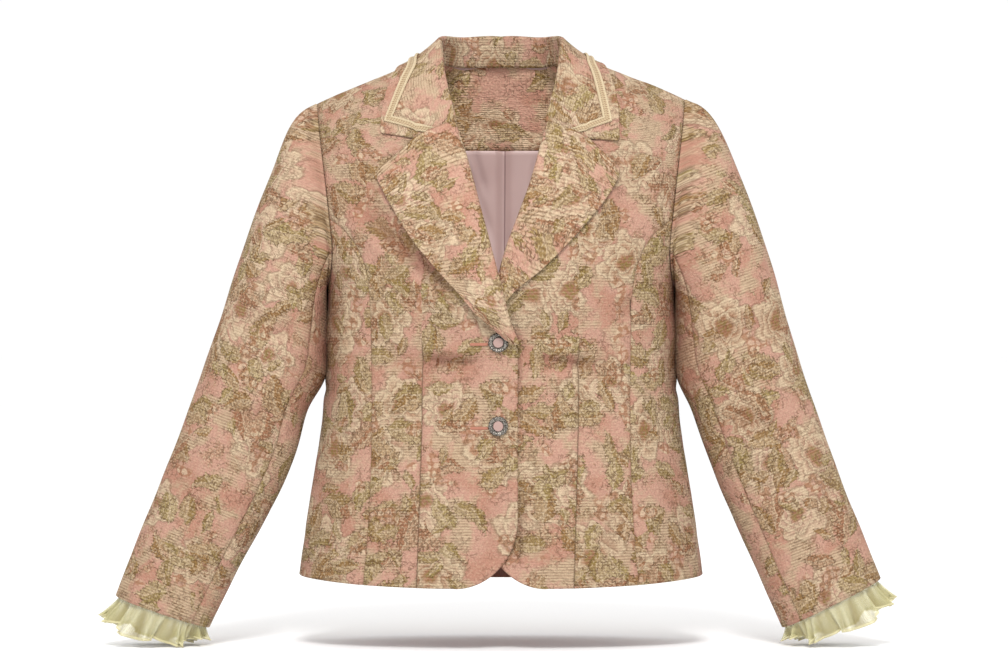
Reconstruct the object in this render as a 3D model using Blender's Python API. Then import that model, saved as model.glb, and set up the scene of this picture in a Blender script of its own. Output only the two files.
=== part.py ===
"""Woman's jacquard blazer, filled out as if worn, with nobody inside it.

Metres, +Z up. The wearer faces -Y and has the right arm at -X. The origin lies on the centre
plane, level with the point where the neck leaves the shoulders. All body panels are cut from
one torso surface, so that neighbours meet along the same seam with a small gap, and lapels,
collar, facing and lining are made from the points of the panels that they lie on.
"""

import math

import bmesh
import bpy
import numpy as np

for old in list(bpy.data.objects):
    bpy.data.objects.remove(old)

# Thickness of each cloth, and the gap left at every seam.
CLOTH = 0.0020
FACING = 0.0012
LINING = 0.0010
ORGANZA = 0.0010
BRAID = 0.0010
SEAM_GAP = 0.0003
ARMHOLE_GAP = 0.0010
LAYER_GAP = 0.0008
INSIDE_GAP = 0.0018


def table(names, *rows):
    """A table with named columns, as a dictionary of arrays with one value for each row."""
    return dict(zip(names.split(), np.array(rows, dtype=float).T))


# Sections of the torso from below the hem to the top of the shoulders. height is measured on
# the centre line and shoulder_fall is how much lower the section lies at the shoulder tip.
# armhole_turn is the angle in degrees from the side to the armhole's edge. The last row
# repeats the one before the shoulder line, reversed, so that the cloth rolls over the top.
TORSO = table(
    "height shoulder_fall half_width front_depth back_depth armhole_turn",
    (-0.620, 0.0000, 0.2260, 0.140, 0.131, 21.0),
    (-0.540, 0.0000, 0.2138, 0.133, 0.121, 21.0),
    (-0.460, 0.0000, 0.2015, 0.124, 0.108, 21.0),
    (-0.390, 0.0000, 0.1915, 0.116, 0.095, 21.0),
    (-0.330, 0.0000, 0.1872, 0.116, 0.092, 21.0),
    (-0.285, 0.0000, 0.1860, 0.122, 0.097, 21.0),
    (-0.247, 0.0000, 0.1858, 0.128, 0.103, 21.0),
    (-0.190, 0.0080, 0.1920, 0.125, 0.110, 22.3),
    (-0.130, 0.0240, 0.1990, 0.109, 0.111, 23.6),
    (-0.075, 0.0390, 0.2030, 0.088, 0.104, 22.5),
    (-0.030, 0.0520, 0.2040, 0.062, 0.090, 19.7),
    (0.003, 0.0630, 0.2030, 0.034, 0.066, 16.5),
    (0.0180, 0.0670, 0.2000, 0.000, 0.000, 11.0),
    (0.003, 0.0630, 0.2030, -0.034, -0.066, 16.5),
)
ARMPIT = 6
RIDGE = 12
ROUNDNESS = 2.4
SHOULDER_TIP = 0.197
NECK_SOFTNESS = 0.050
LEFT_SHOULDER_RISE = 0.0045

# Hem: its height at the side, and how much lower it hangs at the front and at the back.
HEM_SIDE = -0.552
HEM_FRONT_DROP = 0.0095
HEM_BACK_DROP = 0.011

# Front edge, with the rounded corner that cuts it away at the hem. x is negative past the
# centre line, because each front reaches beyond it under or over the other one.
FRONT_OVERLAP = 0.017
CORNER_WIDTH = 0.066
CORNER_HEIGHT = 0.072
FRONT_LIFT = 0.0030
BREAK_LIFT = 0.0062

# Princess seam on the front and its match on the back, from the hem up to the armhole.
FRONT_SEAM = table(
    "x z",
    (0.1440, -0.5540),
    (0.1395, -0.5000),
    (0.1365, -0.4300),
    (0.1362, -0.3450),
    (0.1385, -0.2550),
    (0.1460, -0.2170),
    (0.1620, -0.1910),
)
FRONT_SEAM_TOP = 7.50
BACK_SEAM = table(
    "x z",
    (0.1500, -0.5560),
    (0.1420, -0.5000),
    (0.1330, -0.4300),
    (0.1300, -0.3450),
    (0.1370, -0.2550),
    (0.1480, -0.2050),
    (0.1640, -0.1780),
)
BACK_SEAM_TOP = 7.80

# Roll line and lapel edge, from the break at the front edge up to the gorge and lapel point.
ROLL = {
    "right": table(
        "x z",
        (-0.0170, -0.3120),
        (-0.0065, -0.2870),
        (0.0075, -0.2350),
        (0.0218, -0.1810),
        (0.0385, -0.1180),
    ),
    "left": table(
        "x z",
        (-0.0170, -0.2970),
        (-0.0020, -0.2500),
        (0.0095, -0.2090),
        (0.0209, -0.1780),
        (0.0366, -0.1340),
    ),
}
LAPEL_EDGE = {
    "right": table(
        "x z",
        (-0.0150, -0.3110),
        (0.0280, -0.2690),
        (0.0600, -0.2360),
        (0.0930, -0.1960),
        (0.1170, -0.1560),
        (0.1310, -0.1280),
    ),
    "left": table(
        "x z",
        (-0.0160, -0.2950),
        (0.0100, -0.2560),
        (0.0440, -0.2270),
        (0.0800, -0.1900),
        (0.1080, -0.1560),
        (0.1260, -0.1270),
    ),
}
LAPEL_FOLD = 0.0052
LAPEL_LIFT = 0.0038
LAPEL_ROLL = 0.0030
LAPEL_LIP = 0.009
LAPEL_START = 0.05
LAPEL_WRAP_FROM = 0.32
LAPEL_END_LIFT = {"right": 0.0054, "left": 0.0}

# Collar stations from the centre back to the front end. across and over give a point of the
# torso: half-width, and torso rows down the back (positive) or down the front (negative) from
# the shoulder line. rise is the way from the neck seam to the fold at the top of the stand.
COLLAR = table(
    "neck_across neck_over rise_x rise_y rise_z edge_across edge_over",
    (0.0000, 1.12, 0.0000, 0.000, 0.0236, 0.0000, 2.22),
    (0.0400, 1.10, -0.0005, -0.001, 0.0278, 0.0540, 2.08),
    (0.0620, 0.52, -0.0015, -0.001, 0.0212, 0.0850, 1.10),
    (0.0690, 0.00, -0.0030, 0.000, 0.0145, 0.1055, 0.00),
    (0.0675, -0.85, -0.0035, 0.001, 0.0096, 0.1145, -0.85),
    (0.0625, -1.85, -0.0030, 0.001, 0.0050, 0.1215, -1.75),
    (0.0525, -2.89, -0.0032, 0.000, 0.0016, 0.1225, -2.66),
)
SHOULDER_STATION = 3
GORGE_STATION = 6
NOTCH_ACROSS = 0.089
NOTCH_OVER = -3.10
COLLAR_FOLD = 0.0034
COLLAR_LIFT = 0.0036
COLLAR_SWEEP = 125.0
COLLAR_HOLLOW = 1.9
STAND_INSET = 0.0034
STAND_GAP = 0.0010

# Braid on the collar: distance of its two edges from the collar's edge.
BRAID_OUTER = 0.0090
BRAID_INNER = 0.0180
BRAID_END = 0.34
BRAID_GAP = 0.0011

# Neck facing and lining on the inside of the back.
FACING_DEPTH = -0.095
FACING_ROWS = 5
NECK_COLUMNS = 8
LINING_BOTTOM = -0.535
LINING_HALF_WIDTH = 0.112
PLEAT_WIDTH = 0.016
PLEAT_DEPTH = 0.005

# Sleeve sections from the armhole to the cuff: the outer and the inner edge as seen from the
# front, half the depth from front to back, and how far forward the arm hangs. The last three
# columns give what the left sleeve has more: it hangs further out, and its cuff is turned more
# to the front.
SLEEVE = table(
    "outer_x outer_z inner_x inner_z half_depth forward left_out left_in left_up",
    (0.1970, -0.0490, 0.1858, -0.2470, 0.0520, 0.000, 0.0000, 0.0000, 0.0000),
    (0.2005, -0.0488, 0.1882, -0.2482, 0.0525, 0.000, 0.0000, 0.0000, 0.0000),
    (0.2110, -0.0565, 0.1880, -0.2530, 0.0545, 0.003, 0.0020, 0.0000, 0.0000),
    (0.2255, -0.0790, 0.1880, -0.2610, 0.0560, 0.006, 0.0045, 0.0000, 0.0000),
    (0.2410, -0.1200, 0.1881, -0.2740, 0.0565, 0.010, 0.0080, 0.0000, 0.0000),
    (0.2590, -0.1660, 0.1881, -0.2930, 0.0555, 0.014, 0.0085, 0.0000, 0.0000),
    (0.2780, -0.2210, 0.1884, -0.3180, 0.0535, 0.018, 0.0080, 0.0000, 0.0000),
    (0.2970, -0.2800, 0.1905, -0.3440, 0.0505, 0.020, 0.0055, 0.0000, 0.0000),
    (0.3168, -0.3390, 0.2085, -0.3790, 0.0475, 0.021, 0.0030, 0.0030, 0.0000),
    (0.3385, -0.3990, 0.2215, -0.4270, 0.0445, 0.023, 0.0025, -0.0007, 0.0000),
    (0.3615, -0.4570, 0.2455, -0.4790, 0.0415, 0.026, 0.0000, 0.0017, 0.0010),
    (0.3860, -0.5186, 0.2790, -0.5415, 0.0380, 0.030, -0.0020, 0.0078, 0.0060),
    (0.4070, -0.5740, 0.3110, -0.6067, 0.0350, 0.034, -0.0060, 0.0112, 0.0180),
)
CUFF = 12
SLEEVE_ROUNDNESS = 2.2
SLEEVE_JOIN = 5.0
SLEEVE_SEAM = math.radians(130)
SLEEVE_SEAM_GAP = 0.0010

# Frill: how far it starts inside the cuff and reaches out of it, and its gathers.
FRILL_TUCK = 0.014
FRILL_CLEARANCE = 0.0021
FRILL_REACH_INNER = 0.012
FRILL_REACH_OUTER = 0.025
FRILL_REACH_FRONT = 0.013
FRILL_FLARE = 0.006
FRILL_WAVE = 0.0050
FRILL_GATHERS = 13

# Buttons: metal rim round a flat centre, on the right front.
BUTTON_X = 0.0028
BUTTON_HEIGHTS = {"upper": -0.304, "lower": -0.393}
BUTTON_RADIUS = 0.0104
BUTTON_CENTRE_RADIUS = 0.0054
BUTTON_THICKNESS = 0.0030
BUTTON_STEPS = 20

# Largest folds of the right front, each a trough (negative) or a ridge between two points.
FRONT_FOLDS = table(
    "from_x from_z to_x to_z half_width height",
    (0.158, -0.165, 0.040, -0.255, 0.020, -0.0050),
    (0.130, -0.330, 0.030, -0.322, 0.016, -0.0030),
)


def along(values, row):
    """Smooth curve through a table column, read at a row number that may lie between rows."""
    values = np.asarray(values)
    last = len(values) - 1
    row = np.clip(np.asarray(row, dtype=float), 0, last)
    start = np.minimum(row.astype(int), last - 1)
    part = row - start
    here, there = values[start], values[start + 1]
    before = np.where(start > 0, values[np.maximum(start - 1, 0)], 2 * here - there)
    after = np.where(start < last - 1, values[np.minimum(start + 2, last)], 2 * there - here)
    slope_here, slope_there = (there - before) / 2, (after - here) / 2
    bend = 3 * (there - here) - 2 * slope_here - slope_there
    twist = slope_here + slope_there - 2 * (there - here)
    return here + part * (slope_here + part * (bend + part * twist))


def ease(value):
    """Smooth step from 0 to 1 as value goes from 0 to 1."""
    value = np.clip(value, 0, 1)
    return value * value * (3 - 2 * value)


def unit(vectors):
    return vectors / np.linalg.norm(vectors, axis=-1, keepdims=True)


def stacked(x, y, z):
    return np.stack(np.broadcast_arrays(x, y, z), axis=-1)


def height_at(x, level):
    """Height of a torso section at a distance from the centre line."""
    full = math.hypot(SHOULDER_TIP, NECK_SOFTNESS) - NECK_SOFTNESS
    spread = (np.hypot(x, NECK_SOFTNESS) - NECK_SOFTNESS) / full
    return along(TORSO["height"], level) - along(TORSO["shoulder_fall"], level) * spread


def torso(angle, level):
    """Point of the torso: angle 0 is the centre front, pi/2 the side and pi the centre back."""
    front = np.cos(angle) > 0
    depth = np.where(front, along(TORSO["front_depth"], level), along(TORSO["back_depth"], level))
    power = 2 / ROUNDNESS
    x = along(TORSO["half_width"], level) * np.sign(np.sin(angle)) * np.abs(np.sin(angle)) ** power
    y = -depth * np.sign(np.cos(angle)) * np.abs(np.cos(angle)) ** power
    return stacked(x, y, height_at(x, level))


def torso_normal(angle, level):
    step = 1e-3
    across = torso(angle + step, level) - torso(angle - step, level)
    upward = torso(angle, level + step) - torso(angle, level - step)
    return unit(np.cross(across, upward))


def angle_of(x, level, back=False):
    share = np.clip(np.abs(x) / along(TORSO["half_width"], level), 0, 1)
    angle = np.sign(x) * np.arcsin(share ** (ROUNDNESS / 2))
    return np.where(back, math.pi - angle, angle)


def level_of(x, z):
    """Torso row, by halving, at which the section passes through a height."""
    low, high = np.zeros(np.shape(z)), np.full(np.shape(z), float(RIDGE))
    for _ in range(40):
        middle = (low + high) / 2
        below = height_at(x, middle) < z
        low, high = np.where(below, middle, low), np.where(below, high, middle)
    return (low + high) / 2


def located(x, z, back=False):
    """Torso angle and row of a point given by its place in the front view."""
    level = level_of(x, z)
    return np.stack([angle_of(x, level, back), level], axis=-1)


def over_shoulder(across, over, back=None):
    """Torso angle and row of a point given by rows down the back or the front."""
    level = RIDGE - np.abs(over)
    return np.stack([angle_of(across, level, over > 0 if back is None else back), level], axis=-1)


def armhole_angle(level):
    """Angle of the armhole's front edge: an even curve with a round scoop under the arm."""
    scoop = np.clip(level - ARMPIT, 0, 1)
    turn = along(TORSO["armhole_turn"], level) * np.sqrt(1 - (1 - scoop) ** 2)
    return math.pi / 2 - np.radians(turn)


def armhole_edge(levels, back=False):
    angle = armhole_angle(levels)
    return np.stack([math.pi - angle if back else angle, levels], axis=-1)


def hem_point(angle):
    drop = np.where(np.cos(angle) > 0, HEM_FRONT_DROP, HEM_BACK_DROP) * np.cos(angle) ** 2
    return np.stack([angle, level_of(0.0, HEM_SIDE - drop)], axis=-1)


def surface(domain):
    return torso(domain[..., 0], domain[..., 1])


def normals(domain):
    return torso_normal(domain[..., 0], domain[..., 1])


def spaced(curve, shares):
    """Points at shares of the length of a curve drawn on the torso."""
    steps = np.linalg.norm(np.diff(surface(curve), axis=0), axis=1)
    length = np.concatenate([[0], np.cumsum(steps)])
    wanted = np.asarray(shares) * length[-1]
    return np.stack([np.interp(wanted, length, curve[:, i]) for i in (0, 1)], axis=-1)


def coons(bottom, top, left, right):
    """Grid of torso angles and rows between four edges: rows run from bottom to top."""
    u = np.linspace(0, 1, len(bottom))[None, :, None]
    v = np.linspace(0, 1, len(left))[:, None, None]
    sides = (1 - u) * left[:, None] + u * right[:, None]
    ends = (1 - v) * bottom[None] + v * top[None]
    low_corners = (1 - u) * left[0] + u * right[0]
    high_corners = (1 - u) * left[-1] + u * right[-1]
    return sides + ends - (1 - v) * low_corners - v * high_corners


def seam(rows, top, back, count):
    """A princess seam: a smooth line up from the hem that ends on the armhole."""
    end = armhole_edge(np.array([top]), back)
    tip = surface(end)[0]
    x = np.append(rows["x"], tip[0])
    z = np.append(rows["z"], tip[2])
    row = np.linspace(0, len(x) - 1, 80)
    curve = located(along(x, row), along(z, row), back)
    curve[0] = hem_point(curve[:1, 0])[0]
    curve[-1] = end[0]
    return spaced(curve, np.linspace(0, 1, count))


def material(name, colour, roughness, metallic=0.0):
    made = bpy.data.materials.new(name)
    made.use_nodes = True
    shader = made.node_tree.nodes["Principled BSDF"]
    shader.inputs["Base Color"].default_value = (*colour, 1)
    shader.inputs["Roughness"].default_value = roughness
    shader.inputs["Metallic"].default_value = metallic
    return made


def inset(outer, inner, edges, gap=SEAM_GAP):
    """Draws the named edges of a wall back along the cloth by half the seam gap."""
    for edge in edges.split():
        at, near = (0, 1) if edge in ("bottom", "left") else (-1, -2)
        turned_grids = [outer, inner]
        if edge in ("left", "right"):
            turned_grids = [grid.swapaxes(0, 1) for grid in turned_grids]
        shift = unit(turned_grids[0][near] - turned_grids[0][at]) * gap / 2
        for grid in turned_grids:
            grid[at] += shift


def wall(name, outer, inner, look, hand="both", ring=False):
    """Closed cloth wall between two grids of points. A ring joins its last column to its first.

    A right-hand wall is the mirror image of its grids. A wall on both sides starts the faces of
    its right side at the other corner, so that these are split in mirror image too.
    """
    rows, columns = outer.shape[:2]
    flip = np.array([-1 if hand == "right" else 1, 1, 1])
    mesh = bmesh.new()
    skins = []
    for grid in (outer * flip, inner * flip):
        skins.append([[mesh.verts.new(point) for point in row] for row in posture(grid)])
    spans = columns if ring else columns - 1
    for j in range(rows - 1):
        for i in range(spans):
            k = (i + 1) % columns
            for skin in skins:
                corners = [skin[j][i], skin[j][k], skin[j + 1][k], skin[j + 1][i]]
                if hand == "both" and corners[0].co.x + corners[2].co.x < 0:
                    corners = corners[1:] + corners[:1]
                mesh.faces.new(corners)
    out, back = skins
    for i in range(spans):
        k = (i + 1) % columns
        for j in (0, rows - 1):
            mesh.faces.new((out[j][i], out[j][k], back[j][k], back[j][i]))
    if not ring:
        for j in range(rows - 1):
            for i in (0, columns - 1):
                mesh.faces.new((out[j][i], out[j + 1][i], back[j + 1][i], back[j][i]))
    return finished(name, mesh, look)


def finished(name, mesh, look):
    bmesh.ops.recalc_face_normals(mesh, faces=mesh.faces)
    data = bpy.data.meshes.new(name)
    mesh.to_mesh(data)
    mesh.free()
    data.materials.append(look)
    made = bpy.data.objects.new(name, data)
    bpy.context.collection.objects.link(made)
    return made


def posture(points):
    """Moves points to how the jacket sits: the left shoulder is a little higher."""
    outwards = ease((points[..., 0] - 0.06) / 0.10)
    upwards = ease((points[..., 2] + 0.18) / 0.12)
    rise = LEFT_SHOULDER_RISE * outwards * upwards
    return points + rise[..., None] * np.array([0.0, 0.0, 1.0])


def grid_normals(grid):
    """Normals of a grid of points, from the directions along its rows and columns."""
    return unit(np.cross(np.gradient(grid, axis=1), np.gradient(grid, axis=0)))


def fold_height(x, z, folds):
    """Sum of soft troughs and ridges, each fading to both sides and to the ends of its line."""
    total = np.zeros(np.shape(x))
    for i in range(len(folds["from_x"])):
        start = np.array([folds["from_x"][i], folds["from_z"][i]])
        way = np.array([folds["to_x"][i], folds["to_z"][i]]) - start
        length = np.hypot(*way)
        share = ((x - start[0]) * way[0] + (z - start[1]) * way[1]) / length**2
        aside = ((x - start[0]) * way[1] - (z - start[1]) * way[0]) / length
        ends = ease(share / 0.3) * ease((1 - share) / 0.3)
        total += folds["height"][i] * ends * np.exp(-((aside / folds["half_width"][i]) ** 2))
    return total


def front_lift(points, hand):
    """How far a front stands off the torso: folds, and the right front's lap over the left."""
    x, z = points[..., 0], points[..., 2]
    lift = np.zeros(np.shape(x))
    if hand == "right":
        lift = lift + fold_height(x, z, FRONT_FOLDS)
        near = ease((0.070 - x) / 0.045)
        stand_off = BREAK_LIFT * np.exp(-(((z + 0.275) / 0.055) ** 2))
        lift = lift + near * (FRONT_LIFT + stand_off) * ease((-0.150 - z) / 0.060)
    return lift


def front_edge(hand):
    """Edge of a front from the hem, round the corner, up the front and roll line to the neck."""
    turn = np.linspace(0, math.pi / 2, 24)
    corner_x = CORNER_WIDTH - FRONT_OVERLAP - CORNER_WIDTH * np.sin(turn)
    corner_top = HEM_SIDE - HEM_FRONT_DROP + CORNER_HEIGHT
    corner_z = corner_top - CORNER_HEIGHT * np.cos(turn)
    straight_z = np.linspace(corner_top, ROLL[hand]["z"][0], 24)[1:-1]
    straight_x = np.full(len(straight_z), -FRONT_OVERLAP)
    corner = located(np.append(corner_x, straight_x), np.append(corner_z, straight_z))
    corner[0] = hem_point(corner[:1, 0])[0]
    stations = np.linspace(GORGE_STATION, SHOULDER_STATION, 24)[1:]
    return np.concatenate([corner, roll_line(hand, np.linspace(0, 1, 40)), neckline(stations)])


def roll_line(hand, shares):
    """Line on which a lapel turns back, from the break to the gorge."""
    gorge = surface(neckline(np.array([float(GORGE_STATION)])))[0]
    x = np.append(ROLL[hand]["x"], gorge[0])
    z = np.append(ROLL[hand]["z"], gorge[2])
    row = np.asarray(shares) * (len(x) - 1)
    return located(along(x, row), along(z, row))


def neckline(station, back=None):
    """Neck seam of the body, from the centre back over the shoulder to the gorge."""
    across = along(COLLAR["neck_across"], station)
    return over_shoulder(across, along(COLLAR["neck_over"], station), back)


JACQUARD = (0.56, 0.33, 0.22)
CREAM = (0.80, 0.68, 0.46)
MAUVE = (0.53, 0.36, 0.35)
SILVER = (0.55, 0.52, 0.48)
PINK = (0.72, 0.45, 0.38)
SEAM_ROWS = 15
ARMHOLE_ROWS = 8
HANDS = ("right", "left")


def front_panel(hand):
    """Front: from the front edge and roll line to the princess seam and armhole."""
    seam_line = seam(FRONT_SEAM, FRONT_SEAM_TOP, False, SEAM_ROWS + 1)
    armhole = armhole_edge(np.linspace(FRONT_SEAM_TOP, RIDGE, 60))
    armhole = spaced(armhole, np.linspace(0, 1, ARMHOLE_ROWS + 1))
    right = np.concatenate([seam_line, armhole[1:]])
    left = spaced(front_edge(hand), np.linspace(0, 1, len(right)) ** 1.3)
    columns = np.linspace(0, 1, 13)[:, None]
    hem = left[0] + columns * (right[0] - left[0])
    shoulder = left[-1] + columns * (right[-1] - left[-1])
    domain = coons(hem, shoulder, left, right)
    normal = normals(domain)
    outer = surface(domain)
    outer = outer + normal * front_lift(outer, hand)[..., None]
    inner = outer - normal * CLOTH
    inset(outer, inner, "left right top")
    look = material(f"front_{hand}_jacquard", JACQUARD, 0.75)
    wall(f"front_{hand}", outer, inner, look, hand)


def side_panel(hand):
    """Side: from the front princess seam to the back one, with the scoop of the armhole on top."""
    left = seam(FRONT_SEAM, FRONT_SEAM_TOP, False, SEAM_ROWS + 1)
    right = seam(BACK_SEAM, BACK_SEAM_TOP, True, SEAM_ROWS + 1)
    down = np.linspace(1, 0, 60) ** 2
    front_scoop = armhole_edge(ARMPIT + down * (FRONT_SEAM_TOP - ARMPIT))
    back_scoop = armhole_edge(ARMPIT + down[::-1] * (BACK_SEAM_TOP - ARMPIT), True)
    columns = np.linspace(0, 1, 11)
    top = spaced(np.concatenate([front_scoop, back_scoop[1:]]), columns)
    bottom = hem_point(left[0, 0] + columns * (right[0, 0] - left[0, 0]))
    domain = coons(bottom, top, left, right)
    normal = normals(domain)
    outer = surface(domain)
    inner = outer - normal * CLOTH
    inset(outer, inner, "left right")
    look = material(f"side_{hand}_jacquard", JACQUARD, 0.75)
    wall(f"side_{hand}", outer, inner, look, hand)


def back_domain():
    """Back: from the centre seam to the princess seam and armhole, neck and shoulder on top."""
    seam_line = seam(BACK_SEAM, BACK_SEAM_TOP, True, SEAM_ROWS + 1)
    armhole = armhole_edge(np.linspace(BACK_SEAM_TOP, RIDGE, 60), True)
    armhole = spaced(armhole, np.linspace(0, 1, ARMHOLE_ROWS + 1))
    right = np.concatenate([seam_line, armhole[1:]])
    neck = neckline(np.linspace(0, SHOULDER_STATION, 30), True)
    shoulder = neck[-1] + np.linspace(0, 1, 20)[:, None] * (right[-1] - neck[-1])
    neck_columns = spaced(neck, np.linspace(0, 1, NECK_COLUMNS))
    top = np.concatenate([neck_columns, spaced(shoulder, np.linspace(0, 1, 6))[1:]])
    columns = np.linspace(0, 1, len(top))
    bottom = hem_point(math.pi + columns * (right[0, 0] - math.pi))
    centre_levels = np.linspace(bottom[0, 1], top[0, 1], 40)
    centre = np.stack([np.full(40, math.pi), centre_levels], axis=-1)
    left = spaced(centre, np.linspace(0, 1, len(right)))
    return coons(bottom, top, left, right)


def back_panel(hand):
    domain = back_domain()
    normal = normals(domain)
    outer = surface(domain)
    inner = outer - normal * CLOTH
    inset(outer, inner, "left right top")
    look = material(f"back_{hand}_jacquard", JACQUARD, 0.75)
    wall(f"back_{hand}", outer, inner, look, hand)


def lapel(hand):
    """Lapel: a lip inside the front, a round fold at the roll line, and the part turned back."""
    rows = LAPEL_START + (1 - LAPEL_START) * np.linspace(0, 1, 14)
    roll = roll_line(hand, rows)
    edge_rows = rows * (len(LAPEL_EDGE[hand]["x"]) - 1)
    edge_x = along(LAPEL_EDGE[hand]["x"], edge_rows)
    edge_level = level_of(edge_x, along(LAPEL_EDGE[hand]["z"], edge_rows))
    roll_points = surface(roll)
    normal = normals(roll)
    roll_points = roll_points + normal * front_lift(roll_points, hand)[..., None]
    aside = unit(np.cross(unit(np.gradient(roll_points, axis=0)), normal))

    centre = roll_points - normal * CLOTH / 2
    wrap = ease((rows - LAPEL_WRAP_FROM) / 0.25)[:, None, None]
    turn = math.pi - np.linspace(1, 0, 6)[None, :, None] * np.radians(100 + 80 * wrap)
    round_it = np.cos(turn) * normal[:, None] + np.sin(turn) * aside[:, None]
    fold = centre[:, None] - LAPEL_FOLD * round_it
    lip = fold[:, :1] + (LAPEL_LIP * wrap + 0.0006) * aside[:, None]

    share = np.array([0.08, 0.18, 0.34, 0.5, 0.66, 0.82, 1.0])
    notch = np.array([NOTCH_ACROSS, RIDGE + NOTCH_OVER])
    start = np.stack([surface(roll)[:, 0], roll[:, 1]], axis=-1)
    end = np.stack([edge_x, edge_level], axis=-1)
    flat = start[:, None] + share[None, :, None] * (end - start)[:, None]
    kink = (notch - (start[-1] + end[-1]) / 2) * ease((rows - 0.55) / 0.45)[:, None] ** 2
    flat = flat + kink[:, None] * (1 - np.abs(2 * share - 1))[None, :, None]
    domain = np.stack([angle_of(flat[..., 0], flat[..., 1]), flat[..., 1]], axis=-1)
    over = surface(domain)
    width = np.linalg.norm(over[:, -1] - over[:, 0], axis=-1)[:, None]
    soft = LAPEL_ROLL * np.sin(np.pi * np.clip(share / 0.66, 0, 1)) * ease(width / 0.05)
    end_lift = LAPEL_END_LIFT[hand] * ease((0.42 - rows) / 0.3)[:, None] * ease(share / 0.5)
    lift = front_lift(over, hand) + LAPEL_LIFT + soft + end_lift
    turned = over + normals(domain) * lift[..., None]

    outer = np.concatenate([lip, fold, turned], axis=1)
    inner = outer - grid_normals(outer) * CLOTH
    inset(outer, inner, "top")
    look = material(f"lapel_{hand}_jacquard", JACQUARD, 0.75)
    wall(f"lapel_{hand}", outer, inner, look, hand)


def collar_fall(station, share):
    """Point of the collar's turned-down part: share 0 is next to the fold and 1 the free edge."""
    hand = np.sign(station)
    at = np.abs(station)
    neck = np.stack([along(COLLAR["neck_across"], at), along(COLLAR["neck_over"], at)], axis=-1)
    edge = np.stack([along(COLLAR["edge_across"], at), along(COLLAR["edge_over"], at)], axis=-1)
    notch = np.array([NOTCH_ACROSS, NOTCH_OVER]) - (neck + edge) / 2
    tent = (1 - np.abs(2 * share - 1)) * ease((at - GORGE_STATION + 1.4) / 1.4) ** 2
    flat = neck + (edge - neck) * share[..., None] + notch * tent[..., None]
    domain = over_shoulder(flat[..., 0], flat[..., 1])
    rise, outward, top = collar_fold(at)
    sweep = math.radians(COLLAR_SWEEP)
    start = top + COLLAR_FOLD * ((1 - math.cos(sweep)) * outward + math.sin(sweep) * unit(rise))
    seat = over_shoulder(neck[..., 0], neck[..., 1])
    base = surface(seat) + normals(seat) * COLLAR_LIFT
    point = surface(domain) + normals(domain) * COLLAR_LIFT
    point = point + (start - base) * ((1 - share) ** COLLAR_HOLLOW)[..., None]
    return point * stacked(np.where(hand < 0, -1, 1), 1, 1)


def collar_fold(at):
    """Rise of the stand, the direction away from the neck, and the top of the stand's inner face."""
    seat = neckline(at)
    rise = np.stack([along(COLLAR[f"rise_{axis}"], at) for axis in "xyz"], axis=-1)
    upward = unit(rise)
    normal = normals(seat)
    outward = unit(normal - upward * np.sum(normal * upward, axis=-1, keepdims=True))
    return rise, outward, surface(seat) - outward * STAND_INSET + rise


def collar():
    """Collar: the stand rises from the neck seam, folds over and falls on the shoulders."""
    station = np.linspace(-GORGE_STATION, GORGE_STATION, 29)
    at = np.abs(station)
    rise, outward, top = collar_fold(at)
    upward = unit(rise)
    height = np.array([0.0, 0.5, 1.0])[None, :, None]
    foot = top - rise + upward * STAND_GAP
    stand = foot[:, None] + height * (top - foot)[:, None]
    turn = np.radians(np.linspace(0, COLLAR_SWEEP, 5))[None, 1:-1, None]
    bend = (1 - np.cos(turn)) * outward[:, None] + np.sin(turn) * upward[:, None]
    fold = top[:, None] + COLLAR_FOLD * bend
    flip = np.where(station < 0, -1.0, 1.0)[:, None]
    share = np.array([0.0, 0.12, 0.26, 0.4, 0.5, 0.65, 0.82, 1.0])
    fall = collar_fall(*np.broadcast_arrays(station[:, None], share[None]))
    inside = np.concatenate([stand, fold], axis=1)
    inside[..., 0] *= flip
    outer = np.concatenate([inside, fall], axis=1)
    inner = outer + grid_normals(outer) * CLOTH
    inset(outer, inner, "bottom top")
    wall("collar", outer, inner, material("collar_jacquard", JACQUARD, 0.75))


def length_of(points):
    return np.linalg.norm(np.diff(points, axis=0), axis=-1).sum()


def share_from_edge(station, distance):
    """Share of the collar's fall that lies at a distance from its free edge."""
    path = np.linspace(0.4, 1, 12)
    return 1 - 0.6 * distance / length_of(collar_fall(np.full(12, station), path))


def station_from_end(share, distance):
    """Station of the collar that lies at a distance from its front end."""
    path = np.linspace(GORGE_STATION - 1, GORGE_STATION, 12)
    return GORGE_STATION - distance / length_of(collar_fall(path, np.full(12, share)))


def collar_braid():
    """Braid: a flat strip along the collar's front ends and free edge, turning at the points."""
    lines = []
    for distance in (BRAID_OUTER, BRAID_INNER):
        corner_share = share_from_edge(GORGE_STATION - 0.4, distance)
        end_shares = np.linspace(BRAID_END, corner_share, 6)
        ends = [(station_from_end(share, distance), share) for share in end_shares]
        rest = np.linspace(ends[-1][0], 0, 14)[1:]
        half = ends + [(station, share_from_edge(station, distance)) for station in rest]
        lines.append(np.array([(-station, share) for station, share in half] + half[-2::-1]))
    station, share = np.moveaxis(np.stack(lines, axis=1), -1, 0)
    base = collar_fall(station, share)
    side = np.where(station < 0, -1.0, 1.0)
    across = collar_fall(station, share + 0.01) - collar_fall(station, share - 0.01)
    onward = collar_fall(station - 0.02 * side, share) - base
    normal = unit(np.cross(across, onward)) * side[..., None]
    inner = base + normal * BRAID_GAP
    wall("collar_braid", inner + normal * BRAID, inner, material("braid_cream", CREAM, 0.6))


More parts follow.
